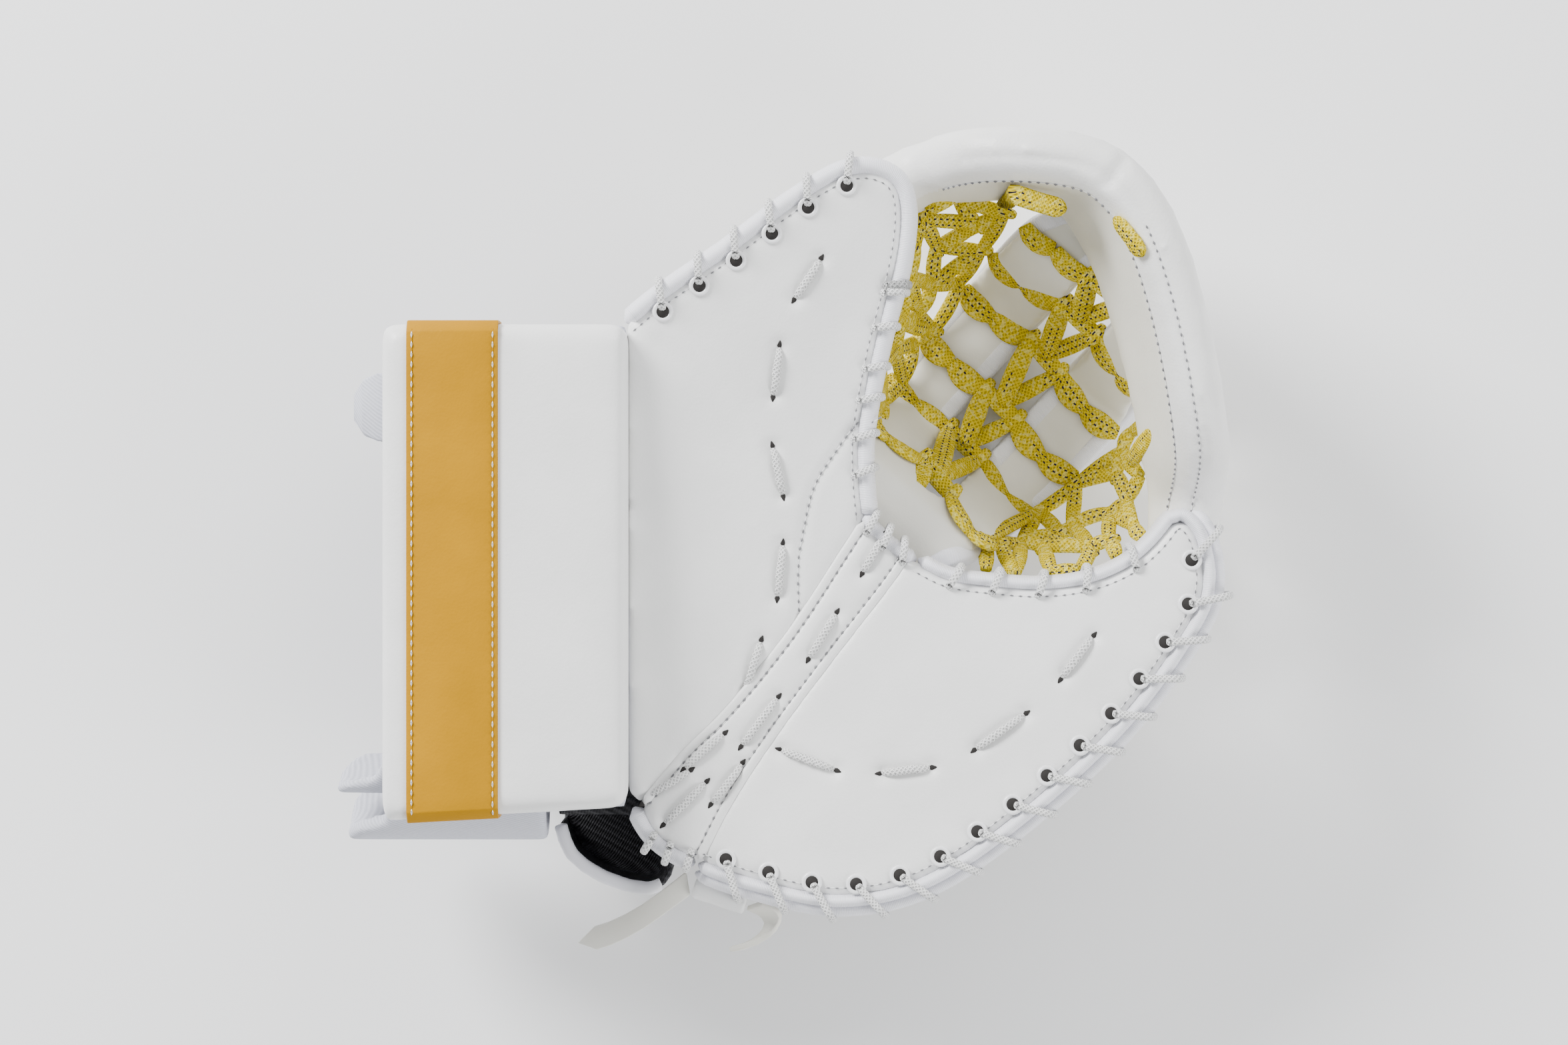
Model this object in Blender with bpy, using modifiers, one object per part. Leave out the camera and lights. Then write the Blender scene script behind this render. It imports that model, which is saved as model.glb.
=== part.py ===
"""An ice hockey goalie's catching glove, lying on the back of the hand with its pocket open upwards.

X runs from the cuff towards the pocket, Y towards the fingers and Z out of the palm. The origin is
on the resting plane, under the middle of the glove. Metres.
"""

import math

import bmesh
import bpy
from mathutils import Vector

# Overall plan. The outlines below are shares of these two.
GLOVE_WIDTH = 0.372
GLOVE_HEIGHT = 0.340

# Clearance between neighbouring pieces.
GAP = 0.0003
# How far the flat facets of two curved faces may lie from their true surface.
FACET_SAG = 0.0005

# The front of palm, strip and thumb is a shallow trough along the break line.
TROUGH_Z = 0.100
TROUGH_RISE = 0.018
TROUGH_REACH = 0.140
BREAK_LINE_HEEL = (-0.161, -0.368)
BREAK_LINE_CROTCH = (0.135, 0.000)
BOARD_THICKNESS = 0.024
BOARD_TOP_ROUND = 0.0030
BOARD_BACK_ROUND = 0.0020

# Facet sizes: curved faces are cut into squares of GRID, flat ones are left whole.
GRID = 0.040
WHOLE = 1.0
# Share of a rounded rim's radius that its one facet covers.
RIM_FACET = 0.7

# Rolled edges.
PALM_ROLL_RADIUS = 0.0030
THUMB_ROLL_RADIUS = 0.0035
HEEL_ROLL_RADIUS = 0.0030

# Eyelets, set in from the boards' edges.
EYELET_INSET = 0.0050
EYELET_HOLE_RADIUS = 0.0021
EYELET_WALL = 0.0008
EYELET_FLANGE_RADIUS = 0.0043
EYELET_FLANGE_HEIGHT = 0.0012
EYELET_BARREL = 0.0040
EYELET_SIDES = 10
PALM_EYELETS = 6
PALM_EYELETS_FROM_TO = (0.055, 0.405)
THUMB_EYELETS = 15
THUMB_EYELETS_FROM_TO = (0.035, 0.945)

# Cuff. Its wrist-side corner meets the palm's first edge point.
CUFF_LENGTH = 0.0985
CUFF_WIDTH = 0.1950
CUFF_RAISE = 0.0040
CUFF_THICKNESS = 0.0260
CUFF_FRONT_ROUND = 0.0045
CUFF_BOTTOM_SLOPE = 0.055
LINING_THICKNESS = 0.0050
LINING_PROUD = 0.0015
LINING_ROUND = 0.0012
BAND_WIDTH = 0.0370
BAND_FROM_LEFT = 0.0100
BAND_THICKNESS = 0.0015
BAND_SHORT_OF_LINING = 0.0040

# Soft cuff flaps.
WING_LENGTH = 0.0640
WING_OVERHANG = 0.0190
WING_DROP = 0.0560
WING_THICKNESS = 0.0060
WING_INSET = 0.0060
WING_BULGE = 0.0230
WING_CORNER = 0.0120
WING_NECK = 0.0220
WING_INNER_OVERHANG = 0.0230
WING_INNER_SHORTER = 0.0035
WING_INNER_DROP = 0.0336
WING_INNER_THICKNESS = 0.0040
WING_INNER_INSET = 0.0190
WING_INNER_BULGE = 0.0160
WING_FINGER_BULGE = 0.0030

# Rim round the pocket, measured from the boards' break line.
RIM_RISE = 0.0240
RIM_HEIGHT = 0.0700
RIM_THICKNESS = 0.0210
RIM_LEAN = 0.0340

# Double strap in the floor of the pocket, between two plan points: under the crotch and under the rim.
TRAP_CROTCH_END = (0.1025, -0.0110)
TRAP_RIM_END = (0.3932, 0.3385)
TRAP_THICKNESS = 0.0070
TRAP_HALF_WIDTH = 0.0450
TRAP_SLOT_HALF_WIDTH = 0.0115
TRAP_FACET = 0.0085
# Where it leaves the crotch, lies flat, leaves the floor and reaches the rim, as shares of its length.
TRAP_PROFILE = (0.1242, 0.3794, 0.6906, 0.9583)
TRAP_SLOT_FROM_TO = (0.2362, 0.9085)

# Laced net. Its rows lie between two shares of the double strap's length.
NET_ROWS = 6
NET_FROM_TO = (0.3171, 0.8214)
LACE_WIDTH = 0.0075
LACE_RISE = 0.65
LACE_OVERLAP = 0.30
NET_SAG = 1.5
NET_LOW_SHARE = 0.38
NET_HIGH_SHARE = 0.72

# Hand pocket and pads behind the palm.
LINER_WALL = 0.0030
LINER_ROUND = 0.0015
LINER_MOUTH = 0.0150
LINER_ROLL_DROP = 0.0380
LINER_ROLL_RADIUS = 0.0032
LINER_ROLL_ROWS = 4
CUTTER_ROUND = 0.0005
BACK_PAD_THICKNESS = 0.0160
BACK_PAD_TOP_ROUND = 0.0030
BACK_PAD_FLOOR_ROUND = 0.0040
THUMB_BACK_WIDTH = 0.0320
THUMB_BACK_THICKNESS = 0.0150
THUMB_BACK_PROUD = 0.0065
THUMB_BACK_ROUND = 0.0030
THUMB_BACK_STATIONS = 21
THUMB_BACK_FROM_TO = (0.042, 0.800)

# Straps.
WRIST_STRAP_WIDTH = 0.0380
WRIST_STRAP_THICKNESS = 0.0030
WRIST_STRAP_FROM_LEFT = 0.0265
WRIST_HALF_SPAN = 0.0640
WRIST_STRAP_LOW = 0.0160
LOOP_WIDTH = 0.0280
LOOP_RADIUS = 0.0095
LOOP_FROM_TOP = 0.0325
LOOP_REACH = 0.0140
LOOP_TUCK = 0.0120
END_WIDTH = 0.0100
END_THICKNESS = 0.0025
LONG_END_POINT = 0.86
SHORT_END_POINT = 0.80
LONG_END_ACROSS = Vector((-0.15, 0.95, 0.25))
SHORT_END_ACROSS = Vector((0.65, 0.30, 0.70))
SLEEVE_RADIUS = 0.0055

# Outlines as shares of width and height.
# Palm edge from the cuff's corner along the fingers and down the pocket to the crotch.
PALM_EDGE = [
    (-0.1656, 0.262), (-0.126, 0.297), (-0.056, 0.350), (0.020, 0.412), (0.079, 0.447), (0.122, 0.440),
    (0.137, 0.405), (0.132, 0.341), (0.116, 0.272), (0.102, 0.207), (0.091, 0.132), (0.091, 0.074),
    (0.095, 0.029),
]
# Seams on both sides of the strip, from crotch to heel.
PALM_SEAM = [
    (0.094, 0.026), (0.073, -0.009), (0.013, -0.109), (-0.054, -0.200), (-0.105, -0.256), (-0.150, -0.315),
]
THUMB_SEAM = [
    (0.138, -0.018), (0.118, -0.050), (0.062, -0.129), (-0.003, -0.224), (-0.054, -0.309), (-0.089, -0.382),
]
PALM_HEEL_CORNER = (-0.1656, -0.301)
HEEL_EDGE = [(-0.156, -0.318), (-0.139, -0.349), (-0.117, -0.369), (-0.091, -0.384)]
# Thumb edge from the heel round the tip, then along the pocket back to the crotch.
THUMB_OUTER_EDGE = [
    (-0.088, -0.385), (-0.032, -0.406), (0.065, -0.426), (0.160, -0.403), (0.266, -0.324), (0.376, -0.212),
    (0.452, -0.097), (0.468, -0.045), (0.461, 0.005), (0.446, 0.029),
]
THUMB_POCKET_EDGE = [
    (0.433, 0.026), (0.412, -0.002), (0.383, -0.028), (0.340, -0.047), (0.290, -0.054), (0.240, -0.051),
    (0.188, -0.043), (0.152, -0.024),
]
# Rim stations: plan x and y, height as a share of the rim's height (0 where it is tucked under a board),
# and lean as a share of RIM_LEAN.
RIM_STATIONS = [
    (0.055, 0.428, 0.000, 0.75), (0.105, 0.467, 0.000, 0.78), (0.143, 0.488, 0.000, 0.80),
    (0.184, 0.499, 0.740, 0.80), (0.230, 0.503, 0.900, 0.80), (0.293, 0.500, 0.960, 0.82),
    (0.345, 0.489, 0.980, 0.90), (0.382, 0.468, 1.000, 1.00), (0.416, 0.429, 1.000, 1.05),
    (0.440, 0.380, 1.000, 1.05), (0.459, 0.322, 1.000, 1.05), (0.476, 0.250, 0.985, 1.02),
    (0.490, 0.172, 0.940, 1.00), (0.499, 0.110, 0.800, 1.00), (0.500, 0.076, 0.620, 0.96),
    (0.497, 0.044, 0.000, 0.90), (0.490, 0.005, 0.000, 0.85), (0.476, -0.035, 0.000, 0.80),
]
# Double strap: share of its length, then how far it reaches to the palm side and to the thumb side,
# as shares of TRAP_HALF_WIDTH.
TRAP_WIDTHS = [
    (0.000, 0.50, 0.50), (0.101, 0.60, 0.60), (0.213, 0.80, 0.80), (0.381, 0.97, 0.97), (0.591, 1.00, 1.00),
    (0.745, 1.00, 0.98), (0.829, 1.00, 0.86), (0.899, 0.98, 0.66), (0.955, 0.92, 0.46), (1.000, 0.84, 0.26),
]
# Outlines behind the palm: the liner with its bulge below the heel, the pad on the back of the hand, and
# the part of the liner that is open on its front.
LINER_LEFT = -0.2527
LINER_EDGE = [
    (-0.247, 0.212), (-0.160, 0.247), (-0.060, 0.280), (0.020, 0.272), (0.042, 0.206), (0.032, 0.118),
    (0.014, 0.035), (-0.024, -0.053), (-0.076, -0.153), (-0.110, -0.265), (-0.119, -0.350), (-0.120, -0.408),
    (-0.146, -0.430), (-0.199, -0.415), (-0.237, -0.385), (-0.250, -0.347),
]
BACK_PAD_EDGE = [
    (-0.226, 0.180), (-0.134, 0.218), (-0.040, 0.247), (0.004, 0.230), (0.012, 0.147), (-0.006, 0.044),
    (-0.050, -0.060), (-0.093, -0.162), (-0.126, -0.250), (-0.175, -0.268), (-0.220, -0.240), (-0.230, -0.060),
]
LINER_NOTCH = [
    (-0.296, -0.334), (-0.168, -0.334), (-0.148, -0.362), (-0.112, -0.392), (-0.084, -0.412),
    (-0.084, -0.470), (-0.296, -0.470),
]
# Where the net hangs, half a row apart from the crotch to the rim: plan shares and what carries it.
NET_PALM_SIDE = [
    (0.075, 0.150, "board"), (0.083, 0.186, "board"), (0.095, 0.232, "board"), (0.110, 0.287, "board"),
    (0.124, 0.344, "board"), (0.163, 0.400, "rim"), (0.240, 0.432, "rim"),
]
NET_THUMB_SIDE = [
    (0.250, -0.062, "board"), (0.280, -0.066, "board"), (0.312, -0.065, "board"), (0.343, -0.058, "board"),
    (0.370, -0.047, "board"), (0.398, 0.050, "rim"), (0.426, 0.150, "rim"),
]
# The backhand strap's sleeve and two loose ends: plan shares, then how far each point lies below the
# boards' front as a share of BOARD_THICKNESS.
SLEEVE_FROM_TO = [(-0.0941, -0.4176, 0.805), (-0.0363, -0.4382, 0.785)]
LONG_END = [
    (-0.1016, -0.4150, 0.812), (-0.1183, -0.4294, 0.900), (-0.1532, -0.4588, 1.269), (-0.1909, -0.4824, 1.720),
    (-0.2272, -0.4956, 2.087),
]
SHORT_END = [
    (-0.0277, -0.4412, 0.781), (-0.0156, -0.4471, 0.839), (-0.0067, -0.4588, 0.946), (-0.0134, -0.4765, 1.081),
    (-0.0323, -0.4912, 1.197), (-0.0565, -0.4985, 1.256),
]


def plan(shares):
    """Plan point in metres from shares of the glove's width and height."""
    return Vector((shares[0] * GLOVE_WIDTH, shares[1] * GLOVE_HEIGHT))


def curve_through(rows, per_span, closed=False):
    """Catmull-Rom curve through rows of numbers, with per_span steps between two rows."""
    rows = [Vector(row) for row in rows]
    count = len(rows)
    spans = count if closed else count - 1
    found = []
    for span in range(spans):
        if closed:
            before, start, end, after = (rows[(span + k) % count] for k in (-1, 0, 1, 2))
        else:
            start, end = rows[span], rows[span + 1]
            before = rows[span - 1] if span else 2 * start - end
            after = rows[span + 2] if span + 2 < count else 2 * end - start
        for step in range(per_span):
            t = step / per_span
            found.append(
                0.5 * (2 * start + (end - before) * t + (2 * before - 5 * start + 4 * end - after) * t**2
                       + (3 * start - before - 3 * end + after) * t**3)
            )
    if not closed:
        found.append(rows[-1])
    return found


def offset_path(path, distance):
    """Open plan path moved sideways, to its left where distance is positive."""
    found = []
    for index, point in enumerate(path):
        ahead = path[min(index + 1, len(path) - 1)] - path[max(index - 1, 0)]
        side = Vector((-ahead.y, ahead.x)).normalized()
        found.append(Vector((point.x, point.y)) + distance * side)
    return found


def evenly_along(path, count, first, last):
    """Points at even steps of length along a path, between two shares of its length."""
    lengths = [0.0]
    for start, end in zip(path, path[1:]):
        lengths.append(lengths[-1] + (end - start).length)
    found = []
    for number in range(count):
        share = first + (last - first) * number / max(count - 1, 1)
        goal = share * lengths[-1]
        index = max(i for i in range(len(path) - 1) if lengths[i] <= goal)
        t = (goal - lengths[index]) / (lengths[index + 1] - lengths[index])
        found.append(path[index].lerp(path[index + 1], t))
    return found


def distance_to_edge(point, outline):
    """Distance in plan from a point to a closed outline."""
    nearest = math.inf
    for index, start in enumerate(outline):
        along = outline[(index + 1) % len(outline)] - start
        t = max(0.0, min(1.0, (point - start).dot(along) / max(along.length_squared, 1e-12)))
        nearest = min(nearest, (point - start - t * along).length)
    return nearest


def rounding(radius, distance):
    """Height that a rounded rim takes off at a distance from the edge."""
    return radius * max(0.0, 1.0 - distance / (RIM_FACET * radius))


def board_front(x, y):
    """Height of the front of palm, strip and thumb."""
    heel, crotch = plan(BREAK_LINE_HEEL), plan(BREAK_LINE_CROTCH)
    along = (crotch - heel).normalized()
    away = Vector((along.y, -along.x)).dot(Vector((x, y)) - heel)
    return TROUGH_Z + TROUGH_RISE * (away / TROUGH_REACH) ** 2


def board_back(x, y):
    return board_front(x, y) - BOARD_THICKNESS


def material(name, colour, roughness, metallic=0.0):
    made = bpy.data.materials.new(name)
    made.use_nodes = True
    shader = made.node_tree.nodes["Principled BSDF"]
    shader.inputs["Base Color"].default_value = (*colour, 1.0)
    shader.inputs["Roughness"].default_value = roughness
    shader.inputs["Metallic"].default_value = metallic
    made.diffuse_color = (*colour, 1.0)
    return made


def add_object(name, data, finish, collection="goalie_catcher_glove"):
    made = bpy.data.objects.new(name, data)
    bpy.data.collections[collection].objects.link(made)
    if finish:
        data.materials.append(finish)
    return made


def finish_mesh(name, shape, finish, collection="goalie_catcher_glove"):
    """Object from a bmesh, faces turned outwards and shaded smooth."""
    bmesh.ops.recalc_face_normals(shape, faces=shape.faces[:])
    mesh = bpy.data.meshes.new(name)
    shape.to_mesh(mesh)
    shape.free()
    mesh.shade_smooth()
    mesh.set_sharp_from_angle(angle=math.radians(40))
    return add_object(name, mesh, finish, collection)


def cut_across(shape, axis, low, high, step):
    """Cuts the faces marked with material index 1 by planes across an axis."""
    direction = Vector((0.0, 0.0, 0.0))
    direction[axis] = 1.0
    cuts = max(1, math.ceil((high - low) / step))
    for number in range(1, cuts):
        faces = [face for face in shape.faces if face.material_index == 1]
        edges = list({edge for face in faces for edge in face.edges})
        verts = list({vert for face in faces for vert in face.verts})
        bmesh.ops.bisect_plane(
            shape, geom=verts + edges + faces, dist=1e-6,
            plane_co=direction * (low + (high - low) * number / cuts), plane_no=direction,
        )


def pad(name, outline, top, bottom, top_round, bottom_round, finish, grid=GRID,
        collection="goalie_catcher_glove"):
    """Padded board on a plan outline, between two height functions, with rounded rims."""
    shape = bmesh.new()
    centre = shape.faces.new([shape.verts.new((point.x, point.y, 0.0)) for point in outline])
    centre.normal_update()
    width = RIM_FACET * max(top_round, bottom_round)
    bmesh.ops.inset_region(shape, faces=[centre], thickness=width, use_boundary=True, use_even_offset=True)
    centre.material_index = 1
    for axis in (0, 1):
        values = [point[axis] for point in outline]
        cut_across(shape, axis, min(values), max(values), grid)
    for face in shape.faces:
        face.material_index = 0
    made = bmesh.ops.extrude_face_region(shape, geom=shape.faces[:])
    lower = {item for item in made["geom"] if isinstance(item, bmesh.types.BMVert)}
    for vert in shape.verts:
        point = vert.co.xy
        away = distance_to_edge(point, outline)
        if vert in lower:
            vert.co.z = bottom(point.x, point.y) + rounding(bottom_round, away)
        else:
            vert.co.z = top(point.x, point.y) - rounding(top_round, away)
    return finish_mesh(name, shape, finish, collection)


def sheet(name, loops, cuts, place, thickness, finish, bevel=0.0, side=-1.0):
    """Sheet outlined in its own flat coordinates, put in space by place(u, v), then thickened.

    cuts holds (axis, low, high, step) rows, and side is Solidify's offset.
    """
    shape = bmesh.new()
    if len(loops) == 1:
        shape.faces.new([shape.verts.new((u, v, 0.0)) for u, v in loops[0]])
    else:
        edges = []
        for loop in loops:
            verts = [shape.verts.new((u, v, 0.0)) for u, v in loop]
            edges += [shape.edges.new((verts[i - 1], verts[i])) for i in range(len(verts))]
        bmesh.ops.triangle_fill(shape, edges=edges, use_beauty=True)
    for face in shape.faces:
        face.material_index = 1
    for axis, low, high, step in cuts:
        cut_across(shape, axis, low, high, step)
    for face in shape.faces:
        face.material_index = 0
        if face.normal.z < 0:
            face.normal_flip()
    for vert in shape.verts:
        vert.co = place(vert.co.x, vert.co.y)
    mesh = bpy.data.meshes.new(name)
    shape.to_mesh(mesh)
    shape.free()
    mesh.shade_smooth()
    made = add_object(name, mesh, finish)
    wall = made.modifiers.new("Wall", "SOLIDIFY")
    wall.thickness = thickness
    wall.offset = side
    wall.use_even_offset = True
    if bevel:
        soft = made.modifiers.new("Soft edge", "BEVEL")
        soft.width = bevel
        soft.segments = 1
        soft.limit_method = "ANGLE"
        soft.angle_limit = math.radians(60)
        soft.use_clamp_overlap = True
    return made


def tube(name, path, radius, finish, sides_level=1):
    """Rolled edge: a round tube along points in space."""
    data = bpy.data.curves.new(name, "CURVE")
    data.dimensions = "3D"
    data.bevel_depth = radius
    data.bevel_resolution = sides_level
    data.use_fill_caps = True
    spline = data.splines.new("POLY")
    spline.points.add(len(path) - 1)
    for target, point in zip(spline.points, path):
        target.co = (*point, 1.0)
    return add_object(name, data, finish)


def loft(name, rings, finish):
    """Closed body through rings of equally many points, with flat ends."""
    shape = bmesh.new()
    rows = [[shape.verts.new(point) for point in ring] for ring in rings]
    for row, following in zip(rows, rows[1:]):
        for index in range(len(row)):
            shape.faces.new((row[index - 1], row[index], following[index], following[index - 1]))
    shape.faces.new(rows[0])
    shape.faces.new(rows[-1])
    return finish_mesh(name, shape, finish)


def subtract(target, cutter):
    cutter.hide_render = True
    cutter.display_type = "WIRE"
    cut = target.modifiers.new("Cut " + cutter.name, "BOOLEAN")
    cut.operation = "DIFFERENCE"
    cut.object = cutter
    cut.solver = "EXACT"


def front_normal(point):
    """Outward direction of the boards' front at a plan point."""
    step = 0.001
    slope_x = (board_front(point.x + step, point.y) - board_front(point.x - step, point.y)) / (2 * step)
    slope_y = (board_front(point.x, point.y + step) - board_front(point.x, point.y - step)) / (2 * step)
    return Vector((-slope_x, -slope_y, 1.0)).normalized()


def bore_eyelets(board, points):
    """Cuts one hole a point through a board, square to its front."""
    shape = bmesh.new()
    for point in points:
        normal = front_normal(point)
        turn = normal.to_track_quat("Z", "Y").to_matrix().to_4x4()
        made = bmesh.ops.create_cone(
            shape, cap_ends=True, segments=EYELET_SIDES, radius1=EYELET_HOLE_RADIUS + EYELET_WALL + GAP,
            radius2=EYELET_HOLE_RADIUS + EYELET_WALL + GAP, depth=3 * BOARD_THICKNESS,
        )
        bmesh.ops.transform(shape, matrix=turn, verts=made["verts"])
        bmesh.ops.translate(shape, vec=(*point, board_front(point.x, point.y)), verts=made["verts"])
    subtract(board, finish_mesh(board.name + "_holes", shape, None, "cutters"))


def add_eyelets(prefix, points, finish):
    """Turned rings: a barrel in the hole and a flange on the front."""
    outer = EYELET_HOLE_RADIUS + EYELET_WALL
    profile = [
        (EYELET_HOLE_RADIUS, -EYELET_BARREL), (outer, -EYELET_BARREL), (outer, GAP), (EYELET_FLANGE_RADIUS, GAP),
        (0.93 * EYELET_FLANGE_RADIUS, EYELET_FLANGE_HEIGHT), (EYELET_HOLE_RADIUS, 0.8 * EYELET_FLANGE_HEIGHT),
    ]
    mesh = bpy.data.meshes.new("eyelet")
    edges = [(index, (index + 1) % len(profile)) for index in range(len(profile))]
    mesh.from_pydata([(radius, 0.0, height) for radius, height in profile], edges, [])
    mesh.materials.append(finish)
    for number, point in enumerate(points, 1):
        made = add_object(f"{prefix}_eyelet_{number:02d}", mesh, None)
        made.location = (*point, board_front(point.x, point.y))
        made.rotation_euler = front_normal(point).to_track_quat("Z", "Y").to_euler()
        turn = made.modifiers.new("Turn", "SCREW")
        turn.steps = EYELET_SIDES
        turn.render_steps = EYELET_SIDES
        turn.use_normal_flip = True


def build_boards(finishes):
    """Palm, strip and thumb with their rolled edges and eyelets."""
    edge = curve_through([plan(row) for row in PALM_EDGE], 3)
    palm_seam = curve_through([plan(row) for row in PALM_SEAM], 3)
    thumb_seam = curve_through([plan(row) for row in THUMB_SEAM], 3)
    heel = curve_through([plan(row) for row in HEEL_EDGE], 2)
    outer = curve_through([plan(row) for row in THUMB_OUTER_EDGE], 4)
    pocket = curve_through([plan(row) for row in THUMB_POCKET_EDGE], 3)

    palm = pad("palm", edge + palm_seam + [plan(PALM_HEEL_CORNER)], board_front, board_back,
               BOARD_TOP_ROUND, BOARD_BACK_ROUND, finishes["leather"])
    strip_left = offset_path(palm_seam, 2 * GAP)
    strip_right = offset_path(thumb_seam, -2 * GAP)
    strip_outline = strip_left + heel[1:-1] + strip_right[::-1]
    pad("break_strip", strip_outline, board_front, board_back,
        BOARD_TOP_ROUND, BOARD_BACK_ROUND, finishes["leather"])
    thumb = pad("thumb", thumb_seam[::-1][1:] + pocket[::-1] + outer[::-1], board_front, board_back,
                BOARD_TOP_ROUND, BOARD_BACK_ROUND, finishes["leather"])

    def roll(name, path, radius, sideways, finish):
        centre = offset_path(path, sideways * (radius + GAP))
        middle = 0.5 * BOARD_THICKNESS
        return tube(name, [(p.x, p.y, board_front(p.x, p.y) - middle) for p in centre], radius, finish)

    roll("palm_binding", edge, PALM_ROLL_RADIUS, 1, finishes["binding"])
    roll("thumb_binding", (outer + pocket), THUMB_ROLL_RADIUS, -1, finishes["binding"])
    roll("heel_binding", heel[:-1], HEEL_ROLL_RADIUS, -1, finishes["binding"])
    crotch = [strip_left[0].lerp(strip_right[0], share) for share in (0.30, 0.6, 0.92)]
    roll("crotch_binding", crotch, PALM_ROLL_RADIUS, 1, finishes["binding"])

    for board, path, count, span, inwards in (
        (palm, edge, PALM_EYELETS, PALM_EYELETS_FROM_TO, -1),
        (thumb, outer, THUMB_EYELETS, THUMB_EYELETS_FROM_TO, 1),
    ):
        points = evenly_along(offset_path(path, inwards * EYELET_INSET), count, *span)
        bore_eyelets(board, points)
        add_eyelets(board.name, points, finishes["eyelet"])
    return outer


def cuff_right():
    return plan(PALM_EDGE[0]).x - GAP


def cuff_left():
    return cuff_right() - CUFF_LENGTH


def cuff_top():
    return plan(PALM_EDGE[0]).y - 2 * GAP


def cuff_bottom(x):
    """Lower edge of the cuff, a little longer at the free end."""
    return cuff_top() - CUFF_WIDTH + CUFF_BOTTOM_SLOPE * (x - cuff_right())


def cuff_back():
    return TROUGH_Z + CUFF_RAISE


def lining_back():
    """Height under the lining, from which flaps and wrist strap hang."""
    return cuff_back() - LINING_THICKNESS - 2 * GAP


def build_cuff(finishes):
    left = cuff_left()
    front = cuff_back() + CUFF_THICKNESS

    def cuff_outline(proud):
        x_low, x_high = left - proud, cuff_right()
        corners = [
            (x_low, cuff_bottom(x_low) - proud), (x_high, cuff_bottom(x_high) - proud),
            (x_high, cuff_top() + proud), (x_low, cuff_top() + proud),
        ]
        return [Vector(corner) for corner in corners]

    pad("cuff_board", cuff_outline(0.0), lambda x, y: front, lambda x, y: cuff_back(),
        CUFF_FRONT_ROUND, BOARD_BACK_ROUND, finishes["leather"], grid=WHOLE)
    lining_top = cuff_back() - GAP
    pad("cuff_lining", cuff_outline(LINING_PROUD), lambda x, y: lining_top,
        lambda x, y: lining_top - LINING_THICKNESS, LINING_ROUND, LINING_ROUND, finishes["nylon"],
        grid=WHOLE)

    # The band lies over the front and turns down over both edges of the board.
    clear = 2 * GAP
    radius = CUFF_FRONT_ROUND
    arc = math.pi / 2 * (radius + clear)
    skirt = CUFF_THICKNESS - radius - BAND_SHORT_OF_LINING
    x_low = left + BAND_FROM_LEFT

    def band_place(u, v):
        x = x_low + u
        low, high = cuff_bottom(x) - clear, cuff_top() + clear
        middle = 0.5 * (low + high)
        straight = 0.5 * (high - low) - radius - clear
        away = abs(v) * (straight + arc + skirt)
        sign = 1.0 if v >= 0 else -1.0
        if away <= straight:
            return Vector((x, middle + sign * away, front + clear))
        if away <= straight + arc:
            angle = (away - straight) / (radius + clear)
            return Vector((x, middle + sign * (straight + (radius + clear) * math.sin(angle)),
                           front + clear - (radius + clear) * (1 - math.cos(angle))))
        return Vector((x, middle + sign * (straight + radius + clear), front - radius - (away - straight - arc)))

    outline = [(0.0, -1.0), (BAND_WIDTH, -1.0), (BAND_WIDTH, 1.0), (0.0, 1.0)]
    sheet("cuff_band", [outline], [(1, -1.0, 1.0, 0.04)], band_place, BAND_THICKNESS, finishes["band"],
          side=1.0)


def build_wings(finishes):
    """Soft flaps under the lining that fold back towards the wrist on both sides."""
    hang = lining_back()
    left, right = cuff_left(), cuff_left() + WING_LENGTH

    def wing(name, start_y, bulge, x_from, x_to, drop, thickness, sign):
        def place(u, v):
            out = bulge * math.sin(math.pi * min(1.0, 0.95 * v) ** 0.9)
            return Vector((u, start_y + sign * out, hang - drop * v))

        corner = [(x_from + WING_CORNER * (1 - math.sin(a)), 1 - WING_CORNER / drop * (1 - math.cos(a)))
                  for a in (0.0, math.pi / 6, math.pi / 3, math.pi / 2)]
        outline = [(x_from + WING_NECK, 0.0), (x_to, 0.0), (x_to, 0.86), (x_to - WING_CORNER, 1.0)] + corner
        outline += [(x_from, 0.42), (x_from + 0.2 * WING_NECK, 0.30), (x_from + 0.73 * WING_NECK, 0.22)]
        sheet(name, [outline], [(1, 0.0, 1.0, 0.14)], place, thickness, finishes["nylon"], side=-sign)

    thumb_side = cuff_top() - CUFF_WIDTH
    wing("cuff_wing_thumb", thumb_side + WING_INSET, WING_BULGE, left - WING_OVERHANG, right,
         WING_DROP, WING_THICKNESS, -1.0)
    wing("cuff_wing_inner", thumb_side + WING_INNER_INSET, WING_INNER_BULGE, left - WING_INNER_OVERHANG,
         right - WING_INNER_SHORTER, WING_INNER_DROP, WING_INNER_THICKNESS, -1.0)
    wing("cuff_wing_finger", cuff_top() - WING_INSET, WING_FINGER_BULGE, left, right,
         WING_DROP, WING_THICKNESS, 1.0)


def rim_top():
    return TROUGH_Z + RIM_RISE


def rim_low():
    return rim_top() - RIM_HEIGHT


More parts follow.
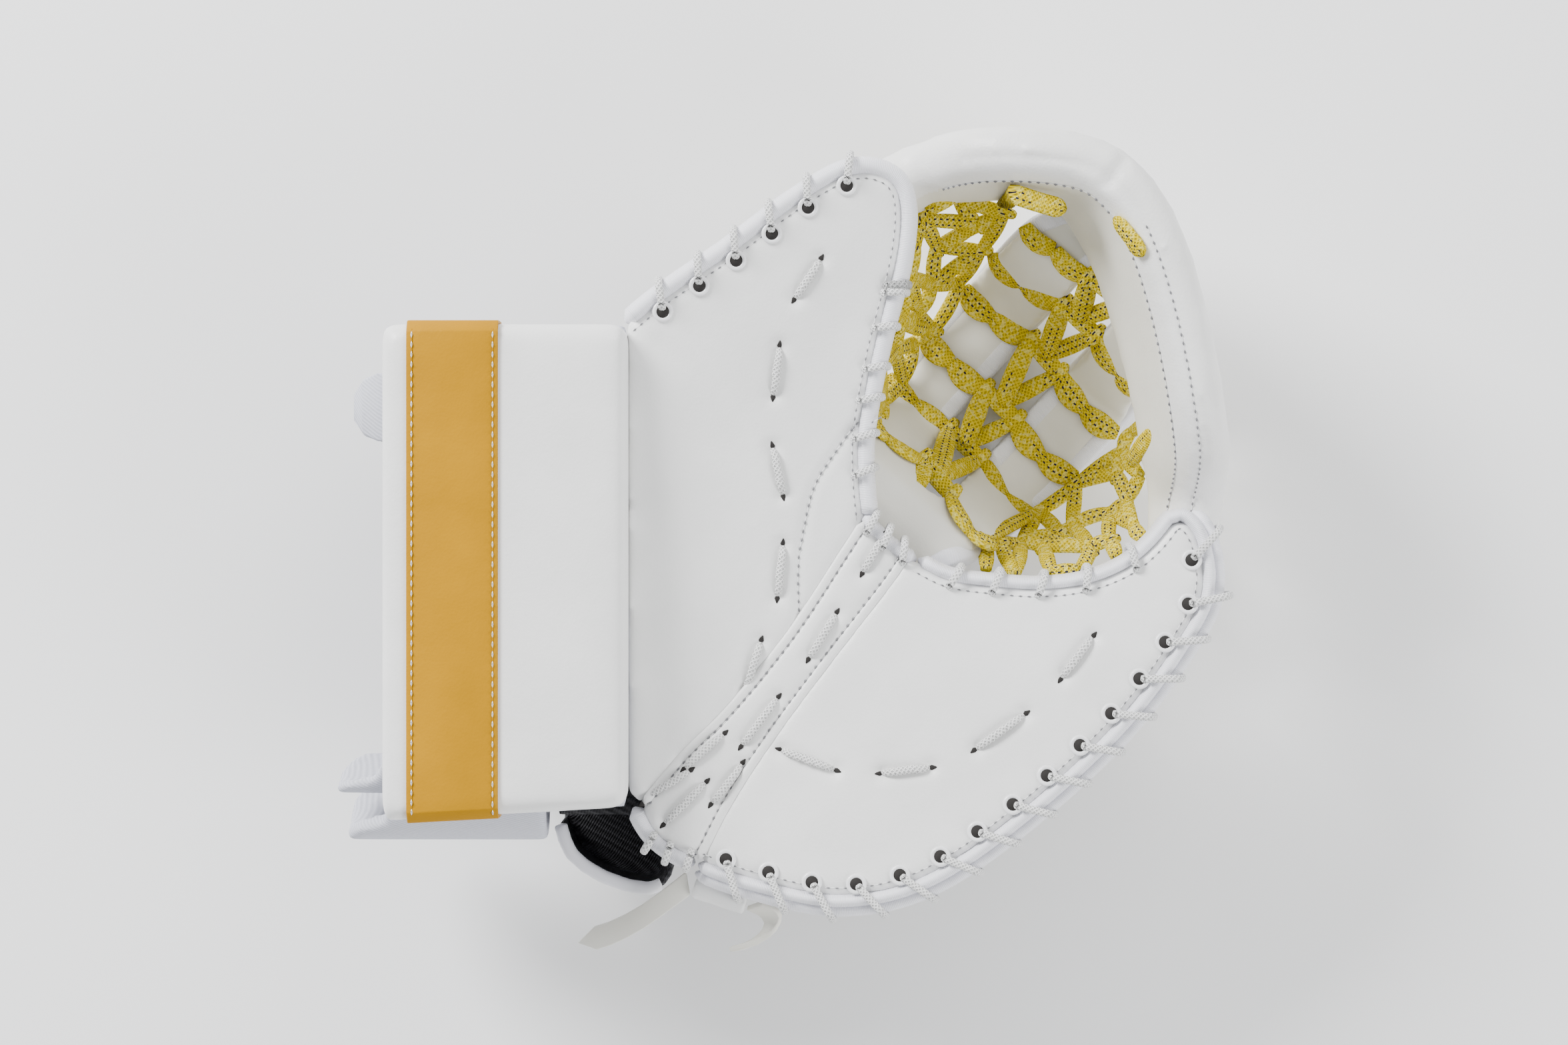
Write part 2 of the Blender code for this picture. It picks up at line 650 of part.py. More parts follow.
def rim_sections():
    """Rim stations along a smooth curve: plan point, inward direction, top height and lean."""
    edge = [plan(row) for row in RIM_STATIONS]
    crest = offset_path(edge, -0.5 * RIM_THICKNESS)
    rows = []
    for point, middle, (_, _, rise, lean) in zip(edge, crest, RIM_STATIONS):
        top = rim_low() + RIM_HEIGHT * rise if rise else board_back(middle.x, middle.y) - 2 * GAP
        rows.append((*point, top, RIM_LEAN * lean))
    found = curve_through(rows, 2)
    plan_path = [Vector((row[0], row[1])) for row in found]
    inwards = [(inner - point).normalized() for point, inner in zip(plan_path, offset_path(plan_path, -1.0))]
    return [(point, inward, row[2], row[3]) for point, inward, row in zip(plan_path, inwards, found)]


def build_rim(finishes):
    """Padded rim: a round top roll and a wall that leans in towards the pocket."""
    half = 0.5 * RIM_THICKNESS
    low = rim_low()
    rings = []
    for edge, inwards, top, lean in rim_sections():
        profile = [(half * (1 - math.cos(a)), top - half + half * math.sin(a))
                   for a in (math.pi * step / 4 for step in range(5))]
        profile += [(lean, low + 0.2 * half), (lean - 0.2 * half, low),
                    (lean - RIM_THICKNESS + 0.2 * half, low), (lean - RIM_THICKNESS, low + 0.3 * half)]
        rings.append([(*(edge + inwards * depth), height) for depth, height in profile])
    loft("perimeter", rings, finishes["leather"])


def trap_axes():
    """Start, length, direction and sideways direction of the double strap in plan."""
    start, end = plan(TRAP_CROTCH_END), plan(TRAP_RIM_END)
    along = (end - start).normalized()
    return start, (end - start).length, along, Vector((along.y, -along.x))


def smooth_step(share):
    share = max(0.0, min(1.0, share))
    return share * share * (3 - 2 * share)


def trap_height(t):
    """Underside of the double strap: flat on the floor, up to the strip and up to the rim."""
    _, length, _, _ = trap_axes()
    share = t / length
    crotch, floor_from, floor_to, rim = TRAP_PROFILE
    if share < floor_from:
        crotch_top = TROUGH_Z - BOARD_THICKNESS - GAP - TRAP_THICKNESS
        return crotch_top * smooth_step((floor_from - share) / (floor_from - crotch))
    return (rim_low() - GAP - TRAP_THICKNESS) * smooth_step((share - floor_to) / (rim - floor_to))


def trap_place(t, s):
    """Point under the double strap, t along its axis from the crotch and s across."""
    start, _, along, across = trap_axes()
    return Vector((*(start + t * along + s * across), trap_height(t)))


def trap_reach(t, side):
    """How far the double strap reaches from its axis: side -1 towards the palm, 1 towards the thumb."""
    _, length, _, _ = trap_axes()
    column = 1 if side < 0 else 2
    share = t / length
    for row, following in zip(TRAP_WIDTHS, TRAP_WIDTHS[1:]):
        if share <= following[0]:
            between = (share - row[0]) / (following[0] - row[0])
            return TRAP_HALF_WIDTH * (row[column] + (following[column] - row[column]) * between)
    return TRAP_HALF_WIDTH * TRAP_WIDTHS[-1][column]


def above_trap(t, s, clear):
    """Point over the double strap's upper face, clear above it."""
    step = 0.0005
    slope = (trap_height(t + step) - trap_height(t - step)) / (2 * step)
    _, _, along, _ = trap_axes()
    normal = Vector((-slope * along.x, -slope * along.y, 1.0)).normalized()
    return trap_place(t, s) + (TRAP_THICKNESS + clear) * normal


def build_trap(finishes):
    _, length, _, _ = trap_axes()
    stations = [length * row[0] for row in TRAP_WIDTHS]
    rim = [(t, -trap_reach(t, -1)) for t in stations] + [(t, trap_reach(t, 1)) for t in stations[::-1]]
    half = TRAP_SLOT_HALF_WIDTH
    first, last = (length * share for share in TRAP_SLOT_FROM_TO)
    quarters = [math.pi * step / 4 for step in range(5)]
    slot = [(first - 0.7 * half * math.sin(a), -0.8 * half * math.cos(a)) for a in quarters]
    slot += [(0.5 * (first + last), half)]
    slot += [(last + half * math.sin(a), half * math.cos(a)) for a in quarters]
    slot += [(0.5 * (first + last), -half)]
    sheet("double_t", [rim, slot], [(0, 0.0, length, TRAP_FACET)], trap_place, TRAP_THICKNESS,
          finishes["strap"], side=-1.0)


def trap_edge(t, side):
    return side * (trap_reach(t, side) + LACE_OVERLAP * LACE_WIDTH)


def build_net(finishes):
    """Laces as a lattice: rows cross both straps, zigzag in the slot and spread into diamonds at the sides.

    Knots sit at whole rows on the straps and at half rows between them.
    """
    clear = GAP + LACE_RISE * LACE_WIDTH
    _, length, _, _ = trap_axes()
    first, last = (length * share for share in NET_FROM_TO)
    slot = TRAP_SLOT_HALF_WIDTH - LACE_OVERLAP * LACE_WIDTH
    whole = range(NET_ROWS)
    halves = [row - 0.5 for row in range(NET_ROWS + 1)]
    shape = bmesh.new()

    def row_t(row):
        return first + (last - first) * row / (NET_ROWS - 1)

    middle = {half: shape.verts.new(above_trap(row_t(half), 0.0, clear)) for half in halves}
    inner = {}
    for side, table in ((-1, NET_PALM_SIDE), (1, NET_THUMB_SIDE)):
        hung = {}
        for half, (x, y, carrier) in zip(halves, table):
            point = plan((x, y))
            height = board_back(point.x, point.y) if carrier == "board" else rim_low()
            hung[half] = Vector((*point, height - clear))

        def on_edge(row):
            return above_trap(row_t(row), trap_edge(row_t(row), side), clear)

        def up_the_side(row, end, share):
            point = on_edge(row).lerp(end, share)
            point.z = on_edge(row).z + (end.z - on_edge(row).z) * share**NET_SAG
            return shape.verts.new(point)

        outer = {row: shape.verts.new(on_edge(row)) for row in whole}
        low = {half: up_the_side(half, hung[half], NET_LOW_SHARE) for half in halves}
        high = {row: up_the_side(row, 0.5 * (hung[row - 0.5] + hung[row + 0.5]), NET_HIGH_SHARE)
                for row in whole}
        edge = {half: shape.verts.new(hung[half]) for half in halves}
        for row in whole:
            inner[side, row] = shape.verts.new(above_trap(row_t(row), side * slot, clear))
        cells = []
        for row in whole:
            before, after = row - 0.5, row + 0.5
            cells.append([low[before], outer[row], low[after], high[row]])
            cells.append([high[row], edge[after], edge[before]])
            if row + 1 < NET_ROWS:
                cells.append([high[row], low[after], high[row + 1], edge[after]])
                cells.append([outer[row], inner[side, row], middle[after], inner[side, row + 1],
                              outer[row + 1], low[after]])
        for cell in cells:
            shape.faces.new(cell[:: -side])
    for row in whole:
        shape.faces.new((middle[row - 0.5], inner[-1, row], middle[row + 0.5], inner[1, row]))
    bmesh.ops.recalc_face_normals(shape, faces=shape.faces[:])
    mesh = bpy.data.meshes.new("net")
    shape.to_mesh(mesh)
    shape.free()
    net = add_object("net", mesh, finishes["lace"])
    laces = net.modifiers.new("Laces", "WIREFRAME")
    laces.thickness = LACE_WIDTH
    laces.use_boundary = True
    laces.use_even_offset = False
    laces.use_replace = True


def build_hand_pocket(finishes):
    """Hollow liner behind the palm, open at the wrist, with its roll and the pad behind it."""
    floor = BACK_PAD_THICKNESS + GAP
    edge = curve_through([plan(row) for row in LINER_EDGE], 2)
    left = LINER_LEFT * GLOVE_WIDTH
    edge = [Vector((max(point.x, left), point.y)) for point in edge]
    liner = pad("hand_liner", edge[::-1], lambda x, y: board_back(x, y) - GAP - FACET_SAG, lambda x, y: floor,
                LINER_ROUND, LINER_ROUND, finishes["mesh"])
    inside = offset_path(edge, -LINER_WALL)
    mouth = left - LINER_MOUTH
    inside = [Vector((mouth, inside[0].y))] + inside + [Vector((mouth, inside[-1].y))]
    hollow = pad("hand_hollow", inside[::-1], lambda x, y: board_back(x, y) - GAP - FACET_SAG - LINER_WALL,
                 lambda x, y: floor + LINER_WALL, CUTTER_ROUND, CUTTER_ROUND, None, collection="cutters")
    subtract(liner, hollow)

    # Below the heel the liner stands out beyond the boards and is open on its front.
    notch = [plan(row) for row in LINER_NOTCH]
    notch_top, notch_floor = TROUGH_Z + TROUGH_RISE, TROUGH_Z - LINER_ROLL_DROP
    cutter = pad("liner_notch", notch, lambda x, y: notch_top, lambda x, y: notch_floor,
                 CUTTER_ROUND, CUTTER_ROUND, None, collection="cutters")
    subtract(liner, cutter)
    rim = offset_path(edge, -0.5 * LINER_WALL)[-2 * LINER_ROLL_ROWS:]
    height = notch_floor + GAP + LINER_ROLL_RADIUS
    tube("liner_roll", [(point.x, point.y, height) for point in rim], LINER_ROLL_RADIUS, finishes["binding"])

    outline = curve_through([plan(row) for row in BACK_PAD_EDGE], 2, closed=True)
    pad("backhand_pad", outline[::-1], lambda x, y: BACK_PAD_THICKNESS, lambda x, y: 0.0,
        BACK_PAD_TOP_ROUND, BACK_PAD_FLOOR_ROUND, finishes["leather"])


def build_thumb_back(outer, finishes):
    """Second layer behind the thumb, a little larger along its outer edge."""
    path = evenly_along(outer, THUMB_BACK_STATIONS, *THUMB_BACK_FROM_TO)
    proud = offset_path(path, -THUMB_BACK_PROUD)
    inner = offset_path(path, THUMB_BACK_WIDTH)
    pad("thumb_back", proud + inner[::-1], lambda x, y: board_back(x, y) - GAP,
        lambda x, y: board_back(x, y) - GAP - THUMB_BACK_THICKNESS,
        THUMB_BACK_ROUND, THUMB_BACK_ROUND, finishes["leather"])


def strap(name, path, across, thickness, finish, point_from=1.0, side=0.0):
    """Flat strap of even width along a path; its end narrows to a point from a share of its length."""
    last = len(path) - 1
    outline = [(0.0, -0.5), (point_from * last, -0.5), (last, 0.0), (point_from * last, 0.5), (0.0, 0.5)]
    if point_from == 1.0:
        outline = [(0.0, -0.5), (last, -0.5), (last, 0.5), (0.0, 0.5)]

    def place(u, v):
        index = min(int(u), last - 1)
        return path[index].lerp(path[index + 1], u - index) + v * across

    return sheet(name, [outline], [(0, 0.0, float(last), 1.0)], place, thickness, finish, side=side)


def below_front(row):
    """Point in space from plan shares and a depth under the boards' front."""
    point = plan(row[:2])
    return Vector((*point, board_front(point.x, point.y) - row[2] * BOARD_THICKNESS))


def build_straps(finishes):
    hang = lining_back()
    span, low = WRIST_HALF_SPAN, WRIST_STRAP_LOW
    side = [(span, hang), (1.04 * span, 0.78 * hang), (0.96 * span, 0.45 * hang), (0.66 * span, 1.5 * low),
            (0.0, low)]
    round_wrist = side + [(-y, z) for y, z in side[-2::-1]]
    x = cuff_left() + WRIST_STRAP_FROM_LEFT + 0.5 * WRIST_STRAP_WIDTH
    path = [Vector((x, *row)) for row in curve_through(round_wrist, 2)]
    strap("wrist_strap", path, Vector((WRIST_STRAP_WIDTH, 0.0, 0.0)), WRIST_STRAP_THICKNESS, finishes["nylon"])

    # The strap's end is folded back on itself beside the cuff's free end.
    start = cuff_left() + LOOP_TUCK
    fold_x = cuff_left() - LOOP_REACH + LOOP_RADIUS
    fold_z = hang - 0.5 * WRIST_STRAP_THICKNESS - LOOP_RADIUS
    turn = [(fold_x - LOOP_RADIUS * math.sin(a), fold_z + LOOP_RADIUS * math.cos(a))
            for a in (math.pi * step / 5 for step in range(6))]
    loop_y = cuff_top() - LOOP_FROM_TOP
    path = [Vector((px, loop_y, pz)) for px, pz in [(start, turn[0][1])] + turn + [(start, turn[-1][1])]]
    strap("strap_loop", path, Vector((0.0, LOOP_WIDTH, 0.0)), WRIST_STRAP_THICKNESS, finishes["nylon"])

    # Sleeve of rolled leather against the underside of the thumb's rolled edge, with the strap's two ends.
    tube("strap_sleeve", [below_front(row) for row in SLEEVE_FROM_TO], SLEEVE_RADIUS, finishes["leather"],
         sides_level=2)
    for name, table, across, point_from in (
        ("strap_end_long", LONG_END, LONG_END_ACROSS, LONG_END_POINT),
        ("strap_end_short", SHORT_END, SHORT_END_ACROSS, SHORT_END_POINT),
    ):
        path = curve_through([below_front(row) for row in table], 2)
        strap(name, path, across.normalized() * END_WIDTH, END_THICKNESS, finishes["strap"],
              point_from=point_from)


def main():
    for old in list(bpy.data.objects):
        bpy.data.objects.remove(old)
    for name in ("goalie_catcher_glove", "cutters"):
        bpy.context.scene.collection.children.link(bpy.data.collections.new(name))
    bpy.data.collections["cutters"].hide_render = True
    finishes = {
        "leather": material("white_leather", (0.86, 0.86, 0.84), 0.45),
        "binding": material("white_binding", (0.88, 0.88, 0.90), 0.38),
        "band": material("yellow_leather", (0.80, 0.38, 0.02), 0.45),
        "nylon": material("grey_white_nylon", (0.68, 0.69, 0.72), 0.80),
        "mesh": material("black_ribbed_mesh", (0.02, 0.02, 0.02), 0.85),
        "strap": material("cream_strap", (0.78, 0.77, 0.70), 0.55),
        "lace": material("yellow_lace", (0.66, 0.56, 0.03), 0.75),
        "eyelet": material("white_enamel", (0.85, 0.85, 0.85), 0.30, 0.2),
    }
    outer = build_boards(finishes)
    build_thumb_back(outer, finishes)
    build_cuff(finishes)
    build_wings(finishes)
    build_rim(finishes)
    build_trap(finishes)
    build_net(finishes)
    build_hand_pocket(finishes)
    build_straps(finishes)


main()
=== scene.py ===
# %% [markdown]
# # A hockey goalie's catching glove
# The glove lies on the back of the hand. Its palm, thumb and cuff are foam boards in white leather, a padded
# rim runs round the pocket, and flat yellow laces are knotted over a double strap in the pocket's floor.
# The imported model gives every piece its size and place, so each step below only dresses that model.

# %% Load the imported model
import math

import bpy
import numpy as np
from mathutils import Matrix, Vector
from mathutils.bvhtree import BVHTree


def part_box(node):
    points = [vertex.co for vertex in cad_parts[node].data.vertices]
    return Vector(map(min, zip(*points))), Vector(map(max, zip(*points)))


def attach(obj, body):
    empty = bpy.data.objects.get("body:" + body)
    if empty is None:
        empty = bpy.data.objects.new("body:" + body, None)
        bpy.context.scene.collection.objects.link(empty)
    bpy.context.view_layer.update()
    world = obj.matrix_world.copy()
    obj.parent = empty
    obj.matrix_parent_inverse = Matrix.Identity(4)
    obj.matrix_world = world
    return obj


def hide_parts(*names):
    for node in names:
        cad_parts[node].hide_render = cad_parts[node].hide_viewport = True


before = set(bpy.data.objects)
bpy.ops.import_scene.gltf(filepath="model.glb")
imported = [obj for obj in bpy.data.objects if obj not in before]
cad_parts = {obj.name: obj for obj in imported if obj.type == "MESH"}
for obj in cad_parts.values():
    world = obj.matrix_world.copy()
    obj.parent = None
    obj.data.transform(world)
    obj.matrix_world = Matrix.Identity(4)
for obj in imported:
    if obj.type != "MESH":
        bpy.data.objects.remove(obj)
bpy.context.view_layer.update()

# %% [markdown]
# ## Floor, light and camera
# The camera looks straight down from 1.8 m above the palm through a long lens, so that the outlines stay
# true. White leather shows its form only through soft shade: one large lamp stands to the upper left, a
# weaker one opposite, and the floor is a plain pale plane.

# %% Camera
bpy.ops.object.select_all(action="DESELECT")
bpy.ops.object.camera_add(location=(0.002, 0.0085, 1.910), rotation=(0.0, 0.0, 0.0))
camera = bpy.context.object
camera.data.lens = 101.25
camera.data.sensor_width = 36.0
bpy.context.scene.camera = camera
print("camera lens", camera.data.lens, "mm")

# %% Floor and lamps
bpy.ops.mesh.primitive_plane_add(size=6.0, location=(0.0, 0.0, -0.0005))
floor = bpy.context.object
floor.name = "floor"


def lamp(name, place, size, watts):
    """A square soft lamp that faces the middle of the glove."""
    bpy.ops.object.light_add(type="AREA", location=place)
    made = bpy.context.object
    made.name = name
    made.data.size = size
    made.data.energy = watts
    made.rotation_euler = (Vector((0.0, 0.0, 0.08)) - Vector(place)).to_track_quat("-Z", "Y").to_euler()


lamp("key_lamp", (-1.5, 1.4, 1.3), 0.9, 118.0)
lamp("fill_lamp", (1.7, -1.1, 1.2), 1.4, 46.0)
lamp("far_lamp", (1.0, 1.9, 1.5), 1.4, 26.0)
world = bpy.data.worlds.new("studio")
bpy.context.scene.world = world
world.use_nodes = True
world.node_tree.nodes["Background"].inputs["Color"].default_value = (0.96, 0.98, 1.0, 1.0)
world.node_tree.nodes["Background"].inputs["Strength"].default_value = 0.76

# %% [markdown]
# ## Sums on shader sockets
# Patterns such as a braid are sums of waves. A small class wraps a socket, so that Python's own signs add
# the Math nodes, and one method adds every other node.


# %% Socket class
class Socket:
    """A shader value that plus, minus, times and divide work on."""

    def __init__(self, tree, socket):
        self.tree = tree
        self.socket = socket

    def node(self, kind, settings=None, inputs=None, output=0):
        """A node of this kind with its settings, then the values or links of its sockets."""
        made = self.tree.nodes.new(kind)
        for key, value in (settings or {}).items():
            setattr(made, key, value)
        for key, value in (inputs or {}).items():
            if isinstance(value, Socket):
                self.tree.links.new(value.socket, made.inputs[key])
            else:
                made.inputs[key].default_value = value
        return Socket(self.tree, made.outputs[output])

    def maths(self, operation, *values):
        return self.node("ShaderNodeMath", {"operation": operation}, dict(enumerate(values)))

    def __add__(self, other):
        return self.maths("ADD", self, other)

    def __sub__(self, other):
        return self.maths("SUBTRACT", self, other)

    def __rsub__(self, other):
        return self.maths("SUBTRACT", other, self)

    def __mul__(self, other):
        return self.maths("MULTIPLY", self, other)

    def __truediv__(self, other):
        return self.maths("DIVIDE", self, other)

    __radd__ = __add__
    __rmul__ = __mul__

    def absolute(self):
        return self.maths("ABSOLUTE", self)

    def fract(self):
        return self.maths("FRACT", self)

    def maximum(self, other):
        return self.maths("MAXIMUM", self, other)

    def wave(self, period):
        """A sine from 0 to 1 along this value."""
        return self.maths("SINE", self * (2 * math.pi / period)) * 0.5 + 0.5

    def mix(self, first, second):
        """Colour between first and second, by this value."""
        made = self.tree.nodes.new("ShaderNodeMix")
        made.data_type = "RGBA"
        self.tree.links.new(self.socket, made.inputs["Factor"])
        for name, colour in (("A", first), ("B", second)):
            target = [s for s in made.inputs if s.name == name and s.type == "RGBA"][0]
            if isinstance(colour, Socket):
                self.tree.links.new(colour.socket, target)
            else:
                target.default_value = (*colour, 1.0)
        return Socket(self.tree, [s for s in made.outputs if s.type == "RGBA"][0])

    def ramp(self, low, high):
        """This value stretched so that low becomes 0 and high becomes 1."""
        return self.node("ShaderNodeMapRange", {"clamp": True},
                         {"Value": self, "From Min": low, "From Max": high})


# %% [markdown]
# A material starts from the principled shader. What stays the same all over is set on its sockets, and only
# colour, roughness and a small bump vary, so that the finish can be baked for a game engine later.


# %% Materials and noise
def material(name, build, rough=0.5, **fixed):
    """A material whose build function gets Object and UV coordinates and returns what varies."""
    made = bpy.data.materials.new(name)
    made.use_nodes = True
    tree = made.node_tree
    shader = tree.nodes["Principled BSDF"]
    shader.inputs["Roughness"].default_value = rough
    for key, value in fixed.items():
        shader.inputs[key.replace("_", " ")].default_value = value
    start = Socket(tree, shader.outputs[0])
    place = start.node("ShaderNodeTexCoord", output=3)
    cloth = start.node("ShaderNodeTexCoord", output=2)
    for key, value in build(place, cloth).items():
        if key == "Height":
            value, distance = value
            value = start.node("ShaderNodeBump", None, {"Height": value, "Distance": distance})
            key = "Normal"
        tree.links.new(value.socket, shader.inputs[key])
    return made


def parts_of(vector):
    """The three numbers of a vector socket."""
    split = vector.tree.nodes.new("ShaderNodeSeparateXYZ")
    vector.tree.links.new(vector.socket, split.inputs[0])
    return [Socket(vector.tree, split.outputs[i]) for i in range(3)]


def noise(place, size, detail=3.0):
    """Soft noise with blobs of this size in metres."""
    return place.node("ShaderNodeTexNoise", None, {"Vector": place, "Scale": 1.0 / size, "Detail": detail})


# %% [markdown]
# ## Leather, cloth and lace
# The white leather is coated, so it has a low pebble grain and a soft shine that is a little uneven. The
# bindings are a smoother, bluish ribbon with fine cross ribs. Laces carry their pattern on a UV map that is
# measured in metres along and round each lace, so the braid has its true size everywhere.


# %% Leathers
def leather(dark, light, grain=0.0011, depth=0.00010):
    """Pebbled leather between two colours, with creases and broad uneven patches."""
    def build(place, cloth):
        cells = place.node("ShaderNodeTexVoronoi", {"feature": "SMOOTH_F1"},
                           {"Vector": place, "Scale": 1.0 / grain, "Smoothness": 0.4})
        soft = noise(place, 0.030, 4.0)
        creases = noise(place, 0.006, 5.0)
        return {
            "Base Color": soft.ramp(0.30, 0.70).mix(dark, light),
            "Roughness": noise(place, 0.012) * 0.16 + 0.36,
            "Height": (cells * 0.5 + creases * 1.6 + soft * 2.0, depth),
        }
    return build


WHITE = material("white_leather", leather((0.800, 0.800, 0.790), (0.850, 0.850, 0.838)), Coat_Weight=0.04)
CREAM = material("cream_strap", leather((0.720, 0.705, 0.635), (0.775, 0.760, 0.690)))
RIM = material("rim_leather", leather((0.790, 0.785, 0.765), (0.840, 0.838, 0.822), depth=0.00016))
YELLOW = material("yellow_leather", leather((0.400, 0.190, 0.000), (0.470, 0.225, 0.000)),
                  Specular_IOR_Level=0.1)
print("leathers", [found.name for found in (WHITE, CREAM, RIM, YELLOW)])

# %% [markdown]
# The bindings are woven ribbon: its cross ribs follow the UV map, as they do on the real tape when it turns a
# corner. The flaps are grey nylon and the hand's pocket is black mesh. Both are seen only in small areas, so
# waves along Object coordinates are enough for their ribs. On all three the colour is darker in the grooves
# between ribs, as painted shade.


# %% Bindings and nylon
def ribbon(dark, light, rib, depth):
    """Woven tape with ribs across it."""
    def build(place, cloth):
        along = parts_of(cloth)[0]
        ribs = along.wave(rib)
        return {
            # painted shade: darker between the ribs; the noise is the tape's own uneven tone
            "Base Color": (ribs * 0.35 + noise(place, 0.015) * 0.65).mix(dark, light),
            "Height": (ribs + noise(place, 0.004) * 1.2, depth),
        }
    return build


def ribbed(dark, light, pitch, depth, flecks=0.0):
    """Cloth with ribs a few millimetres apart, laid by Object coordinates."""
    def build(place, cloth):
        x, y, z = parts_of(place)
        ribs = (x * 0.55 + y + z * 0.8).wave(pitch)
        threads = (x - y * 0.6 + z).wave(pitch * 0.37)
        speck = noise(place, 0.0016, 2.0)
        return {
            # painted shade: darker between the ribs and threads; the specks are the cloth's own flecks
            "Base Color": (ribs * 0.6 + speck * flecks + threads * 0.2).mix(dark, light),
            "Height": (ribs + threads * 0.4 + speck * 0.4, depth),
        }
    return build


BINDING = material("white_binding", ribbon((0.775, 0.775, 0.830), (0.850, 0.850, 0.890), 0.0007, 0.00010), 0.40,
                   Sheen_Weight=0.15)
# The nylon's grey is also set a little darker than the cloth is, as painted shade for the strap loop that lies
# in the cuff's shadow.
NYLON = material("grey_white_nylon", ribbed((0.42, 0.43, 0.49), (0.62, 0.63, 0.69), 0.0016, 0.00008, 0.4), 0.80)
MESH = material("black_ribbed_mesh", ribbed((0.006, 0.006, 0.008), (0.050, 0.050, 0.055), 0.0034, 0.0006), 0.75)


# %% [markdown]
# A braid is two sets of strands that slant left and right and hide each other in turn, so the higher of two
# waves gives its relief. The same relief sets the colour, as painted shade that darkens the lace between its
# strands. The yellow lace has pale flecks, and two broken rows of dark marks run along it.


# %% Braided laces
TICK_ROW, TICK_STEP = 0.0012, 0.0027


def braid(dark, light, fleck, strand, depth, ticks=None):
    """Two sets of slanting strands that pass over each other; ticks colours short marks in two rows."""
    def build(place, cloth):
        along, across, _ = parts_of(cloth)
        left = (along + across).wave(strand)
        right = (along - across).wave(strand)
        weave_and_painted_shade = left.maximum(right)
        # painted shade: the colour is darker where the strands dip and lighter on their tops, with a little
        # uneven tone
        base = (weave_and_painted_shade * 0.8 + noise(place, 0.004) * 0.3).mix(dark, light)
        if fleck:
            cell = cloth.node("ShaderNodeTexVoronoi", None, {"Vector": cloth, "Scale": 1.0 / (0.55 * strand)},
                              output=1)
            base = (parts_of(cell)[0].ramp(0.62, 0.70) * 0.75).mix(base, fleck)
        if ticks:
            dashes = []
            for row, shift in ((-TICK_ROW, 0.0), (TICK_ROW, 0.45)):
                near = 1.0 - (across - row).absolute().ramp(0.00026, 0.00040)
                dashes.append(near * (1.0 - (along / TICK_STEP + shift).fract().ramp(0.42, 0.47)))
            patch = noise(place, 0.020, 1.0).ramp(0.47, 0.50)
            base = (dashes[0].maximum(dashes[1]) * patch).mix(base, ticks)
        return {"Base Color": base, "Height": (weave_and_painted_shade + noise(place, 0.0012) * 0.5, depth)}
    return build


# The darker colour of each lace is mostly the painted shade between its strands.
LACE = material("white_lace", braid((0.50, 0.50, 0.49), (0.88, 0.88, 0.87), None, 0.0018, 0.00060), 0.75)
NET = material("yellow_lace",
               braid((0.32, 0.220, 0.000), (0.72, 0.550, 0.002), (0.80, 0.70, 0.16), 0.0019, 0.00060,
                     (0.008, 0.010, 0.045)), 0.85, Specular_IOR_Level=0.1)

# %% [markdown]
# What is left is plain: the eyelets' enamel, sewing thread with the painted shade line under it, the painted
# shade in a hole and the floor. Their roughness varies only a little.

# %% Plain finishes
ENAMEL = material("white_enamel", lambda place, cloth: {"Roughness": noise(place, 0.004) * 0.1 + 0.18}, 0.2,
                  Base_Color=(0.84, 0.84, 0.85, 1.0), Coat_Weight=0.3)
THREAD = material("thread", lambda place, cloth: {"Roughness": noise(place, 0.002) * 0.2 + 0.6}, 0.6,
                  Base_Color=(0.17, 0.17, 0.18, 1.0))
SHADE = material("seam_shade", lambda place, cloth: {"Roughness": noise(place, 0.002) * 0.1 + 0.85}, 0.9,
                 Base_Color=(0.80, 0.80, 0.80, 1.0))
HOLE_SHADE = material("hole_shade", lambda place, cloth: {"Roughness": noise(place, 0.002) * 0.1 + 0.85}, 0.9,
                Base_Color=(0.015, 0.013, 0.012, 1.0))
floor.data.materials.append(material(
    "pale_floor", lambda place, cloth: {"Roughness": noise(place, 0.2) * 0.05 + 0.85}, 0.9,
    Base_Color=(0.93, 0.93, 0.93, 1.0)))
print("materials", len(bpy.data.materials))

# %% [markdown]
# ## The lines that the pieces follow
# The outlines are the same shares of width and height as in the part, and the front of palm, strip and thumb
# is the same shallow trough. A smooth curve through the points gives every edge, seam and lace its route.

# %% Outlines
WIDE, HIGH = 0.372, 0.340
HEEL, CROTCH = np.array((-0.161 * WIDE, -0.368 * HIGH)), np.array((0.135 * WIDE, 0.0))
PALM_EDGE = [(-0.1656, 0.262), (-0.126, 0.297), (-0.056, 0.350), (0.020, 0.412), (0.079, 0.447), (0.122, 0.440),
             (0.137, 0.405), (0.132, 0.341), (0.116, 0.272), (0.102, 0.207), (0.091, 0.132), (0.091, 0.074),
             (0.095, 0.029)]
PALM_SEAM = [(0.094, 0.026), (0.073, -0.009), (0.013, -0.109), (-0.054, -0.200), (-0.105, -0.256),
             (-0.150, -0.315)]
THUMB_SEAM = [(0.138, -0.018), (0.118, -0.050), (0.062, -0.129), (-0.003, -0.224), (-0.054, -0.309),
              (-0.089, -0.382)]
HEEL_EDGE = [(-0.156, -0.318), (-0.139, -0.349), (-0.117, -0.369), (-0.091, -0.384)]
THUMB_OUTER = [(-0.088, -0.385), (-0.032, -0.406), (0.065, -0.426), (0.160, -0.403), (0.266, -0.324),
               (0.376, -0.212), (0.452, -0.097), (0.468, -0.045), (0.461, 0.005), (0.446, 0.029)]
THUMB_POCKET = [(0.433, 0.026), (0.412, -0.002), (0.383, -0.028), (0.340, -0.047), (0.290, -0.054),
                (0.240, -0.051), (0.188, -0.043), (0.152, -0.024)]
print("outline points", sum(map(len, (PALM_EDGE, PALM_SEAM, THUMB_SEAM, HEEL_EDGE, THUMB_OUTER, THUMB_POCKET))))


